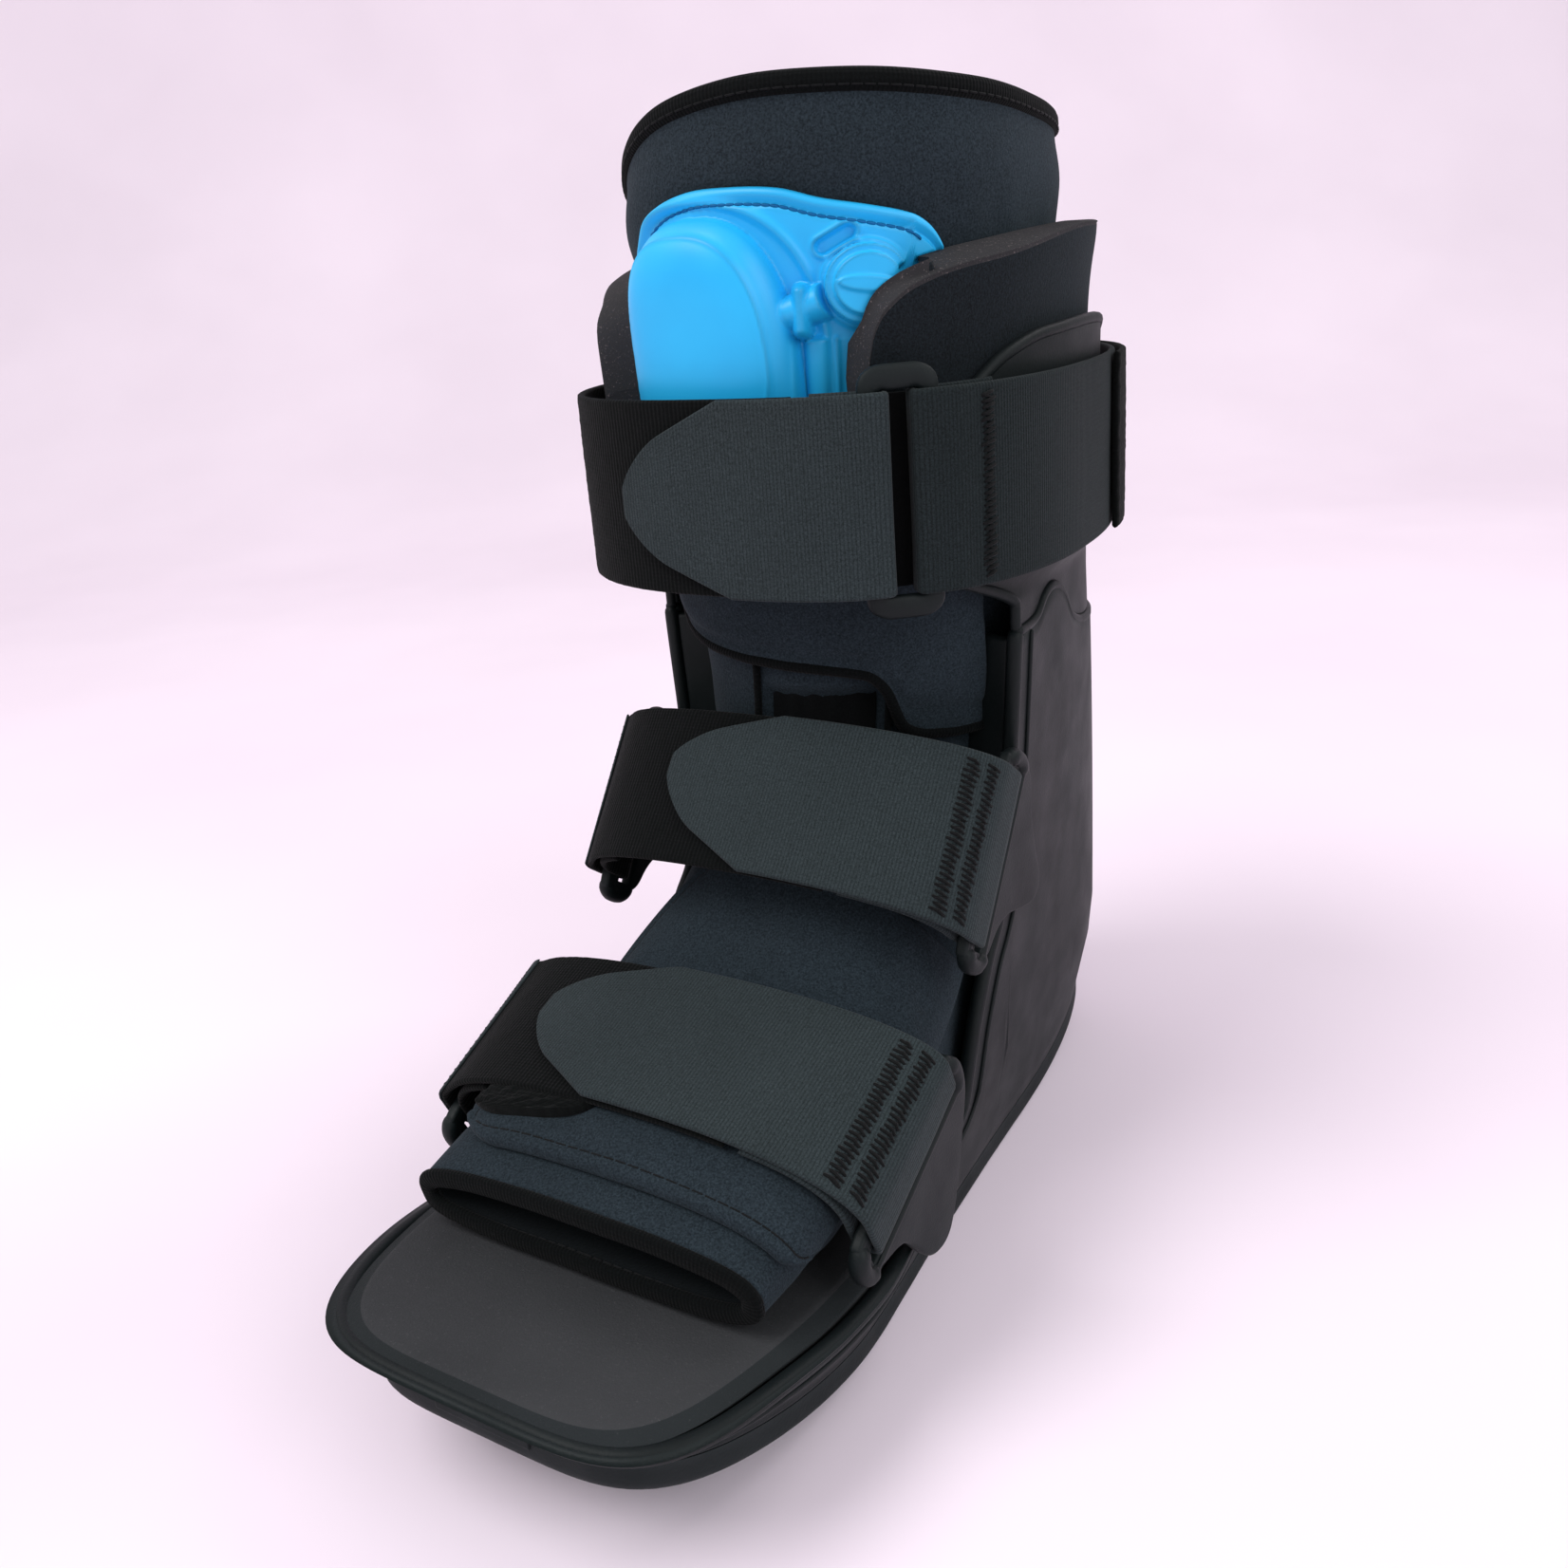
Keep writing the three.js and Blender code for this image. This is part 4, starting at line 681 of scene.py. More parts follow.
def make_shell():
    columns = mirrored(even_columns(rim_at, 2.4))
    top = rim_at(columns)
    levels = [0, 0.03, 0.08, 0.15, 0.25, 0.37, 0.5, 0.62, 0.74, 0.84, 0.92, 0.97, 1]

    def ring(grow, base, k):
        foot = plate_ring(columns, base, grow)
        point = wall(columns, mix(foot[:, 2], top, k), grow)
        return np.where(np.array(k)[..., None] == 0, foot, point) if k == 0 else point

    def under(y):
        return tread_z(y) + TREAD_THICKNESS

    rings = [ring(0.0, under, k) for k in levels]
    rings += [ring(-SHELL_WALL, floor_z, k) for k in levels[::-1]]
    ring_body("shell_wall", rings, [PLASTIC], "plastic", ["shell"])

    # Rounded bead along the low rim and up the front edges, with a fine groove below it
    for name, start, end, size in (("shell_bead", -1, 1, 2.3), ("notch_bead", 2, 3, 2.0)):
        if name == "shell_bead":
            limit = math.atan2(HALF_LENGTH, -UPRIGHT_FRONT)
            right = even_columns(rim_at, 2.2, 0.0, limit - 0.0005)
            angles = np.concatenate([-right[::-1], right[1:]])
        else:
            right = even_columns(rim_at, 2.2, math.pi * 0.83, math.pi)
            angles = np.concatenate([right, 2 * math.pi - right[::-1][1:]])
        path = wall(angles, rim_at(angles) - 1.6, -SHELL_WALL / 2)
        dress(sweep(name, path, wall_normal(angles, path[:, 2]), size, size * 0.98, PLASTIC, roundness=2.4),
              "plastic", "shell")
        if name == "shell_bead":
            tangent = unit(np.gradient(path, axis=0))
            down = unit(np.cross(wall_normal(angles, path[:, 2]), tangent))
            down *= np.where(down[:, 2:] > 0, -1, 1)
            line = wall(angles, path[:, 2], 0.2) + down * 7.5
            # Back onto the wall: at the same angle round the toe, at the same y down the steep front edges
            fine = np.linspace(0.4, math.pi - 0.4, 800)
            there = [np.interp(p[1], wall(fine, p[2] + 0 * fine)[:, 1], fine) for p in line]
            steep = smooth(np.abs(tangent[:, 2]) * 3 - 0.6)
            line = wall(mix(angles, np.array(there) * np.sign(angles), steep), line[:, 2], 0.3)
            dress(sweep("shell_line", line, wall_normal(angles, path[:, 2]), 0.8, 0.7, PLASTIC, sides=8),
                  "plastic", "shell")

    # Thin rounded edge of the shell along its seam with each upright
    start = math.atan2(HALF_LENGTH, -UPRIGHT_FRONT) + 0.002
    seam = even_columns(rim_at, 1.5, start, UPRIGHT_BACK)
    path = wall(seam, rim_at(seam) - 0.3, -1.3)
    out = wall_normal(seam, path[:, 2])
    for label, side in (("right", 1), ("left", -1)):
        flip = np.array([side, 1, 1])
        edge = sweep(f"seam_edge_{label}", path * flip, out * flip, 1.5, 1.6, PLASTIC,
                     roundness=2.3, sides=10)
        dress(edge, "plastic", "shell")

    # Stiffening flange behind each front edge
    for label, side in (("right", 1), ("left", -1)):
        start = math.atan2(HALF_LENGTH, -SOLE_LENGTH * 0.06)
        right = even_columns(rim_at, 3.0, start, math.atan2(HALF_LENGTH, -UPRIGHT_FRONT) - 0.0005)
        edge = wall(right, rim_at(right) - 2.0, -SHELL_WALL)
        depth = 13 * smooth(np.linspace(0, 3, len(right)))
        inner = edge + np.stack([-depth, 4 + 0 * depth, 0 * depth], -1)
        outer_edge = edge + np.array([0.0, 1.0, 0.0])
        s = along(edge)

        def flange(U, V, offset, outer_edge=outer_edge, inner=inner, s=s, side=side):
            a = resample(outer_edge, s, U[:, 0])[:, None]
            b = resample(inner, s, U[:, 0])[:, None]
            point = mix(a, b, V[..., None] / 13)
            point = point + np.array([0.0, 1.0, 0.25]) * offset[..., None]
            return point * np.array([side, 1, 1])

        size = spread(s[-1], 4, 1.0), spread(13, 2, 1.0)
        piece = slab(f"shell_flange_{label}", flange, *size, 1.3, [PLASTIC])
        dress(piece, "plastic", "shell")


def make_outsole():
    columns = mirrored(even_columns(lambda a: wall(a, 20.0 + 0 * a)[..., 2], 3.0))
    chamfer = TREAD_THICKNESS / 3

    def over(y):
        return tread_z(y) + TREAD_THICKNESS - GAP

    rings = [plate_ring(columns, tread_z, -chamfer)]
    for k in (0.25, 0.5, 0.75, 1.0):
        turn = k * math.pi / 2
        lift = chamfer * (1 - math.cos(turn))
        ease = -chamfer * (1 - math.sin(turn))
        rings.append(plate_ring(columns, lambda y, lift=lift: tread_z(y) + lift, ease))
    rings += [
        plate_ring(columns, lambda y: tread_z(y) + TREAD_THICKNESS * 0.55),
        plate_ring(columns, lambda y: tread_z(y) + TREAD_THICKNESS * 0.71),
        plate_ring(columns, over),
    ]
    sole = ring_body("sole_tread", rings, [RUBBER], "rubber", ["outsole"])

    # Grooves across the tread
    cutter_points, cutter_faces = [], []
    y = -HALF_LENGTH * 0.8
    while y < HALF_LENGTH * 0.8:
        if abs(y - FLAT_MIDDLE) >= 21 * 0.9:
            z = float(tread_z(np.array(y)))
            start = len(cutter_points)
            for dx in (-80, 80):
                for dy, dz in ((-2.6, -3), (2.6, -3), (1.6, 2), (-1.6, 2)):
                    cutter_points.append((dx, y + dy, z + dz))
            a = start
            cutter_faces += [
                (a, a + 1, a + 2, a + 3), (a + 7, a + 6, a + 5, a + 4), (a, a + 4, a + 5, a + 1),
                (a + 1, a + 5, a + 6, a + 2), (a + 2, a + 6, a + 7, a + 3), (a + 3, a + 7, a + 4, a),
            ]
        y += 21
    cutter = add_mesh("sole_grooves", cutter_points, cutter_faces, [RUBBER])
    cut = sole.modifiers.new("grooves", "BOOLEAN")
    cut.object = cutter
    cut.solver = "EXACT"
    bpy.context.view_layer.update()
    result = bpy.data.meshes.new_from_object(sole.evaluated_get(bpy.context.evaluated_depsgraph_get()))
    sole.modifiers.clear()
    sole.data = result
    sole.data.shade_smooth()
    sole.data.set_sharp_from_angle(angle=35 * DEG)
    bpy.data.objects.remove(cutter)

    # Toe bumper with level grooves
    limit = math.atan2(BUMPER_WIDTH / 2, HALF_LENGTH)
    angles = np.linspace(-limit, limit, 80)
    front = wall(angles, RIM_HEIGHT * 1.0)
    low = tread_z(front[:, 1]) + 1

    def bumper(U, V, offset):
        z = low[:, None] + V / 14 * (RIM_HEIGHT - 3.5 - low)[:, None]
        ribs = -0.6 * np.exp(-((V - 5.2) / 0.55) ** 2) - 0.6 * np.exp(-((V - 8.8) / 0.55) ** 2)
        grow = -1.1 + offset + np.where(offset > 0, ribs * smooth(offset / 1.0), 0)
        return wall(angles[:, None] + 0 * V, z, grow)

    shares = np.ones(80)
    shares[0], shares[-1] = 0, 0
    piece = slab("toe_bumper", bumper, (angles, shares), spread(14, 0.5, 0.8), 1.9, [RUBBER])
    dress(piece, "rubber", "outsole")


def make_insole():
    columns = mirrored(even_columns(lambda a: wall(a, 40.0 + 0 * a)[..., 2], 3.0))
    edge = -SHELL_WALL - 3 * GAP

    def over(y):
        return floor_z(y) + GAP + INSOLE_THICKNESS

    rings = [
        plate_ring(columns, lambda y: floor_z(y) + GAP, edge),
        plate_ring(columns, lambda y: over(y) - INSOLE_THICKNESS * 0.48, edge),
        plate_ring(columns, lambda y: over(y) - INSOLE_THICKNESS * 0.40, edge - 0.3),
        plate_ring(columns, lambda y: over(y) - 0.5, edge - INSOLE_BEVEL + 0.5),
        plate_ring(columns, lambda y: over(y) - 0.1, edge - INSOLE_BEVEL - 0.4),
        plate_ring(columns, over, edge - INSOLE_BEVEL - 1.6),
    ]
    # The step and bevel bands (1 and 2) take the darker foam copy as painted shade.
    piece = ring_body("insole_foam", rings, [EVA, EVA_PAINTED_SHADE], "foam", ["insole"], bands=(0, 1, 1, 0, 0))
    piece.data.set_sharp_from_angle(angle=28 * DEG)


# Bootie forms

BOOTIE_ROWS = [
    # back y, back z, front y, front z, width, back squareness, front squareness
    (-0.665, 0.000, -0.677, 0.212, 1.04, 3.6, 2.6),
    (-0.589, 0.000, -0.596, 0.230, 1.05, 3.6, 2.5),
    (-0.470, 0.000, -0.477, 0.248, 1.05, 3.6, 2.4),
    (-0.345, 0.000, -0.364, 0.262, 1.04, 3.6, 2.4),
    (-0.207, 0.000, -0.251, 0.276, 1.01, 3.6, 2.3),
    (-0.050, 0.000, -0.169, 0.304, 0.98, 3.4, 2.3),
    (0.125, 0.000, -0.100, 0.336, 0.95, 3.2, 2.3),
    (0.345, 0.000, -0.050, 0.371, 0.93, 3.0, 2.3),
    (0.577, 0.000, -0.019, 0.405, 0.92, 2.8, 2.3),
    (0.784, 0.110, 0.000, 0.439, 0.92, 2.7, 2.3),
    (0.880, 0.150, 0.012, 0.470, 0.92, 2.6, 2.3),
    (0.900, 0.230, 0.022, 0.502, 0.92, 2.5, 2.3),
    (0.885, 0.336, 0.028, 0.536, 0.94, 2.4, 2.3),
    (0.850, 0.455, 0.028, 0.586, 0.96, 2.3, 2.3),
    (0.810, 0.580, 0.022, 0.648, 0.98, 2.3, 2.3),
    (0.785, 0.704, 0.006, 0.736, 1.00, 2.3, 2.3),
    (0.775, 0.816, -0.012, 0.835, 1.015, 2.3, 2.3),
    (0.775, 0.904, -0.038, 0.931, 1.10, 2.3, 2.3),
    (0.775, 0.954, -0.047, 1.000, 1.145, 2.3, 2.3),
]
LAST_ROW = len(BOOTIE_ROWS) - 1
LEG_START = 9.0
bootie_table = []
for i, row in enumerate(BOOTIE_ROWS):
    rest = (BINDING_WIDTH - BOOTIE_WALL) / 2 + 2 * GAP if i == 0 else 2 * GAP
    level = max(row[1] * BOOTIE_HEIGHT, float(sole_top_z(np.array(row[0] * HALF_LENGTH))) + rest)
    bootie_table.append((i, row[0], level, row[2], row[3], row[4], row[5], row[6]))
bootie_curves = [curve(bootie_table, column) for column in range(1, 8)]


def on_bootie(at, angle, grow=0.0):
    """A point of the bootie: row along it, angle from the front over the right side, grown outwards."""
    back_y, back_z, front_y, front_z, width, back_n, front_n = [c(at) for c in bootie_curves]
    y0, z0 = back_y * HALF_LENGTH, back_z
    y1, z1 = front_y * HALF_LENGTH, front_z * BOOTIE_HEIGHT
    span = np.hypot(y1 - y0, z1 - z0)
    c, s = np.cos(angle), np.sin(angle)
    n = np.where(c > 0, front_n, back_n)
    r = (np.abs(s) ** n + np.abs(c) ** n) ** (-1 / n)
    k = 0.5 + (0.5 + grow / span) * r * c
    x = (width * HALF_LEG + grow) * r * s
    dip = RIM_DIP * np.exp((np.cos(angle - RIM_DIP_ANGLE * DEG) - 1) * 4.1)
    dip = dip * smooth((at - LAST_ROW + 2.2) / 2.2)
    return np.stack(np.broadcast_arrays(x, mix(y0, y1, k), mix(z0, z1, k) - dip), -1)


def stand_off(angle):
    """How far the stiff pads and wings stand off the bootie's curve towards their front edges."""
    turn = np.clip(STAND_OFF_START - np.abs(angle) / DEG, 0, STAND_OFF_TURN) * DEG
    return STAND_OFF_RADIUS * (1 / np.cos(turn) - 1)


def row_at(angle, z):
    """Row of the bootie's leg where the point at that angle lies at height z."""
    shape = np.broadcast(angle, z).shape
    low, high = np.full(shape, LEG_START), np.full(shape, LAST_ROW * 1.0)
    for _ in range(26):
        middle = (low + high) / 2
        below = on_bootie(middle, angle)[..., 2] < z
        low, high = np.where(below, middle, low), np.where(below, high, middle)
    return (low + high) / 2


def bootie_normal(at, angle):
    return unit(on_bootie(at, angle, 1.0) - on_bootie(at, angle, 0.0))


WINDOW = {"left": -8, "right": 34, "low": 148, "high": 170}


def window_depth(angle, z):
    """How far the dark opening under the cuff's flap is let into the bootie."""
    a = angle / DEG
    across = smooth((a - WINDOW["left"]) / 2.5) * smooth((WINDOW["right"] - a) / 2.5)
    up = smooth((z - WINDOW["low"]) / 3) * smooth((WINDOW["high"] - z) / 2.5)
    return across * up


RIM_LEAN = 2.6


def make_bootie():
    rows = np.linspace(0, LAST_ROW, 190)
    angles = np.linspace(-math.pi, math.pi, 180, endpoint=False)
    A, T = np.meshgrid(rows, angles, indexing="ij")
    rest = on_bootie(A, T)
    free = smooth((A - 0.3) / 1.5) * smooth((LAST_ROW - 0.2 - A) / 1.5)
    soft = 0.55 * ripple(rest, 46, 11) + 0.25 * ripple(rest, 17, 12)
    seat = 1 - smooth((15 - (rest[..., 2] - 30)) / 10)
    crease = np.sin((A - 8.6) * 2.7) * np.exp(-((A - 9.4) / 1.6) ** 2) * smooth(np.cos(T) * 1.4)
    grow = free * (soft * seat * 0.9 + crease * 0.9) - 0.3
    grow = grow - 4.0 * window_depth(T, rest[..., 2])
    seam = np.abs(np.abs(T) - math.pi) * HALF_LEG
    grow = grow - 1.1 * np.exp(-(seam / 1.4) ** 2) * free
    lean = RIM_LEAN * smooth((A - LAST_ROW + 0.9) / 0.9) ** 1.5
    outer = on_bootie(A, T, grow - lean)
    folds = 1.1 * np.sin(T * 9 + 2 * np.sin(T * 2)) * np.exp(-((A - 1.6) / 1.5) ** 2)
    folds = folds * smooth(np.cos(T) * 1.5 + 0.4)
    inner = on_bootie(A[::-1], T[::-1], (-BOOTIE_WALL - lean + 0.4 * free * soft - np.abs(folds))[::-1])
    push = np.zeros_like(outer)
    push[..., 2] = 2.6 * smooth(A - LAST_ROW + 1)
    push[..., 1] = -2.6 * smooth(1 - A)
    rings = np.concatenate([outer + push, inner + push[::-1]])
    index = np.arange(rings.shape[0] * rings.shape[1]).reshape(rings.shape[:2])
    s = T * HALF_LEG
    length = np.repeat(np.linspace(0, 420, len(rows))[:, None], len(angles), 1)
    uv = np.concatenate([np.stack([length, s], -1), np.stack([length, s], -1)[::-1]]) / 10
    # Inner faces take the darker knit copy, painted shade inside the bootie.
    inside = np.repeat(np.arange(len(rings)) >= len(rows) - 1, len(angles)).astype(int)
    piece = add_mesh("bootie_body", rings, grid_faces(index, True, True), [KNIT, INNER_KNIT_PAINTED_SHADE], uv, inside)
    dress(piece, "knit", "bootie")


def make_bindings():
    angles = np.linspace(-math.pi, math.pi, 220, endpoint=False)
    wave = 0.35 * np.sin(angles * 5 + 0.7) + 0.2 * np.sin(angles * 11)
    for name, at, way, node, high, half, lean in (
        ("top_binding", LAST_ROW, np.array([0.0, 0.0, 1.0]), "bootie_top_binding", 3.1, 3.4, RIM_LEAN),
        ("toe_binding", 0, np.array([0.0, -1.0, 0.0]), "bootie_toe_binding", 1.5, 2.8, 0.0),
    ):
        middle = on_bootie(at + 0 * angles, angles, -BOOTIE_WALL / 2 - lean + 0.1 * wave)
        path = middle + way * (2.8 + high * 0.4 + 0.3 * wave)[:, None]
        out = bootie_normal(at + 0 * angles, angles)
        piece = sweep(name, path, out, high, half, TRIM, closed=True, roundness=2.5, sides=20)
        dress(piece, "trim", node)
        # Stitches along both faces of the binding
        lines = []
        for face in (half - 0.1, -half + 0.1):
            base = path + out * face - way * high * 0.45
            s = along(base, True)
            loop = np.vstack([base, base[:1]])
            at_mm = np.arange(0, s[-1] - 2, 3.2)
            for start in at_mm:
                lines.append(resample(loop, s, np.array([start, start + 1.1, start + 2.2])))
        dress(threads(f"{name}_stitches", lines, 0.28, THREAD, 5), "trim", node)


FOOT_FLAP_ROWS = [
    (0.45, -50, 84), (1.2, -52, 86), (3, -52, 84), (5, -47, 82), (6, -36, 80), (6.8, -20, 76),
]
foot_left, foot_right = curve(FOOT_FLAP_ROWS, 1), curve(FOOT_FLAP_ROWS, 2)


def make_foot_flap():
    """Flap over the instep, its left edge free and stitched."""
    first, last = FOOT_FLAP_ROWS[0][0], FOOT_FLAP_ROWS[-1][0]
    length, width = 128, 124

    def place(U, V):
        corner = np.maximum(1 - np.minimum(V, width - V) / 16, 0) ** 2
        at = mix(first, last, U / length) + 0.55 * corner * (1 - U / length) ** 3
        angle = mix(foot_left(at), foot_right(at), V / width) * DEG
        return at, angle

    def point(U, V, offset):
        at, angle = place(U, V)
        rest = on_bootie(at, angle)
        ease = smooth(np.minimum(V, width - V) / 16) * smooth(np.minimum(U, length - U) / 12)
        soft = ease * (0.7 * ripple(rest, 38, 21) + 0.35 * ripple(rest, 15, 22) + 0.7)
        hem = -0.7 * np.exp(-((V - 5.5) / 0.9) ** 2) - 0.6 * np.exp(-((U - 4.5) / 0.9) ** 2)
        raised = np.where(offset >= 0, soft + hem, 0.3 * soft)
        return on_bootie(at, angle, 2 * GAP + FLAP_THICKNESS / 2 + offset + raised)

    size = spread(length, 1.6, 1.8), spread(width, 1.6, 1.8)
    piece = slab("instep_flap", point, *size, FLAP_THICKNESS / 2, [KNIT])
    dress(piece, "knit", "foot_flap")

    def on_top(u, v, lift):
        return point(np.asarray(u, float)[:, None], np.asarray(v, float)[:, None],
                     np.full((len(u), 1), FLAP_THICKNESS / 2 + lift))[:, 0]

    lines = []
    for start in np.arange(6, length - 6, 3.4):
        u = np.array([start, start + 1.2, start + 2.4])
        lines.append(on_top(u, 0 * u + 5.5, 0.15))
    for start in np.arange(8, width - 6, 3.4):
        v = np.array([start, start + 1.2, start + 2.4])
        lines.append(on_top(0 * v + 4.5, v, 0.15))
    dress(threads("instep_flap_stitches", lines, 0.32, THREAD, 5), "knit", "foot_flap")

    # Fleecy pull tab at the flap's left front corner, half under the strap
    def tab(U, V, offset):
        u = 9 + U
        round_end = np.sqrt(np.clip(1 - (np.abs(U - 15) / 15.5) ** 2.6, 0, 1))
        v = 7 + V * round_end
        fuzz = np.where(offset > 0, 0.35 * ripple(np.stack([U, V, 0 * U], -1), 3, 31), 0)
        at, angle = place(u, v)
        return on_bootie(at, angle, 2 * GAP + FLAP_THICKNESS + 1.6 + offset + fuzz)

    piece = slab("flap_tab", tab, spread(30, 0.8, 0.9), spread(34, 0.8, 0.9), 1.3, [PILE])
    dress(piece, "pile", "foot_flap")


CUFF_ROWS = [
    (-52, 0.600), (-44, 0.572), (-30, 0.556), (-12, 0.548), (0, 0.545), (28, 0.536), (34, 0.520),
    (39, 0.484), (50, 0.472), (62, 0.470),
]
cuff_low = curve(CUFF_ROWS, 1)
PAD_LOW = STRAP_HEIGHT + 6


def make_cuff_flap():
    first, last = CUFF_ROWS[0][0], CUFF_ROWS[-1][0]
    width, height = 108, 38

    def place(U, V):
        angle = mix(first, last, U / width) * DEG
        z = mix(BOOTIE_HEIGHT * cuff_low(angle / DEG), PAD_LOW + 1, V / height)
        return row_at(angle, z), angle

    def point(U, V, offset):
        at, angle = place(U, V)
        rest = on_bootie(at, angle)
        soft = (0.6 * ripple(rest, 40, 41) + 0.3 * ripple(rest, 14, 42)) * smooth(V / 8)
        puff = 1.4 * smooth(V / 10)
        hem = -0.8 * np.exp(-((V - 5.0) / 0.9) ** 2)
        raised = np.where(offset >= 0, soft + puff + hem, 0)
        return on_bootie(at, angle, 2 * GAP + FLAP_THICKNESS / 2 + offset + raised)

    size = spread(width, 1.6, 1.8), spread(height, 1.2, 1.8)
    piece = slab("cuff_front", point, *size, FLAP_THICKNESS / 2, [KNIT])
    dress(piece, "knit", "cuff_flap")

    # Bound lower edge, and the bound sides of the opening below it
    angles = np.linspace(first, last, 150) * DEG
    z = BOOTIE_HEIGHT * cuff_low(angles / DEG) + 0.8
    at = row_at(angles, z)
    path = on_bootie(at, angles, 2 * GAP + FLAP_THICKNESS / 2 + 0.4)
    dress(sweep("cuff_binding", path, bootie_normal(at, angles), 1.6, 2.5, TRIM, roundness=2.4, sides=14),
          "trim", "cuff_flap")
    # Near-black sheet at the bottom of the opening: painted shade
    def opening_painted_shade(U, V, offset):
        turn = mix(WINDOW["left"] + 2.0, WINDOW["right"] - 2.0, U / 40) * DEG
        z = mix(WINDOW["low"] + 2.5, WINDOW["high"] + 3, V / 20)
        return on_bootie(row_at(turn, z), turn, -3.5 + offset + 0.3 * np.sin(U * 0.8))

    dress(slab("window_painted_shade", opening_painted_shade, spread(40, 1.5, 0.4), spread(20, 1.5, 0.4), 0.35, [PAINTED_SHADE_CLOTH]),
          "knit", "bootie")
    for label, side_angle in (("left", WINDOW["left"] - 1), ("right", WINDOW["right"] + 1)):
        z = np.linspace(WINDOW["low"] - 4, BOOTIE_HEIGHT * float(cuff_low(side_angle)), 30)
        turn = (side_angle + 4 * (1 - smooth((z - z[0]) / 10)) * (1 if label == "left" else -1)) * DEG
        at = row_at(turn, z)
        path = on_bootie(at, turn, 0.9)
        out = bootie_normal(at, turn)
        dress(sweep(f"window_binding_{label}", path, out, 1.0, 1.2, TRIM, roundness=2.4, sides=12),
              "trim", "cuff_flap")


PAD_ROWS = [
    (0.00, 0.885), (0.02, 0.935), (0.06, 0.962), (0.14, 0.979), (0.27, 0.990), (0.56, 1.000),
    (0.90, 1.000), (0.97, 0.980), (1.00, 0.945),
]
pad_top = curve(PAD_ROWS, 1)
PAD_FRONT = {"right": 29, "left": 40}
PAD_BACK = 138


def make_pad(label, side):
    """Foam pad inside the wing: cut foam edges, fabric on both faces."""
    front = PAD_FRONT[label]
    length, height = 142 if label == "right" else 128, 82

    def point(U, V, offset):
        k = U / length
        angle = mix(front, PAD_BACK, k ** 1.25)
        bevel = 4.0 * smooth((100 - angle) / 40) * (0.5 + offset / PAD_THICKNESS)
        z = mix(PAD_LOW, PAD_HEIGHT * pad_top((angle - front) / (PAD_BACK - front)) - bevel, V / height)
        turn = side * angle * DEG
        at = row_at(turn, z)
        rest = on_bootie(at, turn)
        bow = 0.5 * ripple(rest, 50, 51) * smooth(np.minimum(V, height - V) / 12)
        edge = np.minimum(np.minimum(U, length - U), height - V)
        face = np.abs(offset) > PAD_THICKNESS * 0.49
        pinch = np.where(face, -0.5 * np.sign(offset) * np.exp(-edge / 2.5), 0)
        swell = 2.6 * smooth((50 - angle) / 9) * (offset > 0) if label == "left" else 0
        lift = 2 * GAP + stand_off(turn) + bow
        # The flat front part is cut square to its own plane
        guide = turn + side * np.clip(STAND_OFF_START - angle, 0, STAND_OFF_TURN) * DEG
        way = on_bootie(at, guide, 1.0) - on_bootie(at, guide, 0.0)
        through = PAD_THICKNESS / 2 + offset * 1.04 + pinch + swell
        if label == "right":
            near = np.hypot(angle * MM_PER_DEGREE - VALVE[0], z - VALVE[1])
            through = np.maximum(through, 12.2 * smooth((14.5 - near) / 3.0) - lift)
        return on_bootie(at, turn, lift) + way * through[..., None]

    size = spread(length, 2.2, 1.6, 5, 8), spread(height, 2.2, 1.6, 5, 8)
    piece = slab(f"pad_{label}", point, *size, PAD_THICKNESS / 2, [FACING, CUT_FOAM], edge_material=True)
    dress(piece, "foam", f"foam_pad_{label}")


# Uprights

WING_ROWS = [
    (0.00, 47, 0.915), (0.08, 55, 0.946), (0.17, 64, 0.974), (0.30, 77, 0.990), (0.70, 116, 0.990),
    (0.88, 130, 0.950), (1.00, 135, 0.860),
]
wing_angle, wing_top = curve(WING_ROWS, 1), curve(WING_ROWS, 2)
WING_OFFSET = PAD_THICKNESS + 5 * GAP


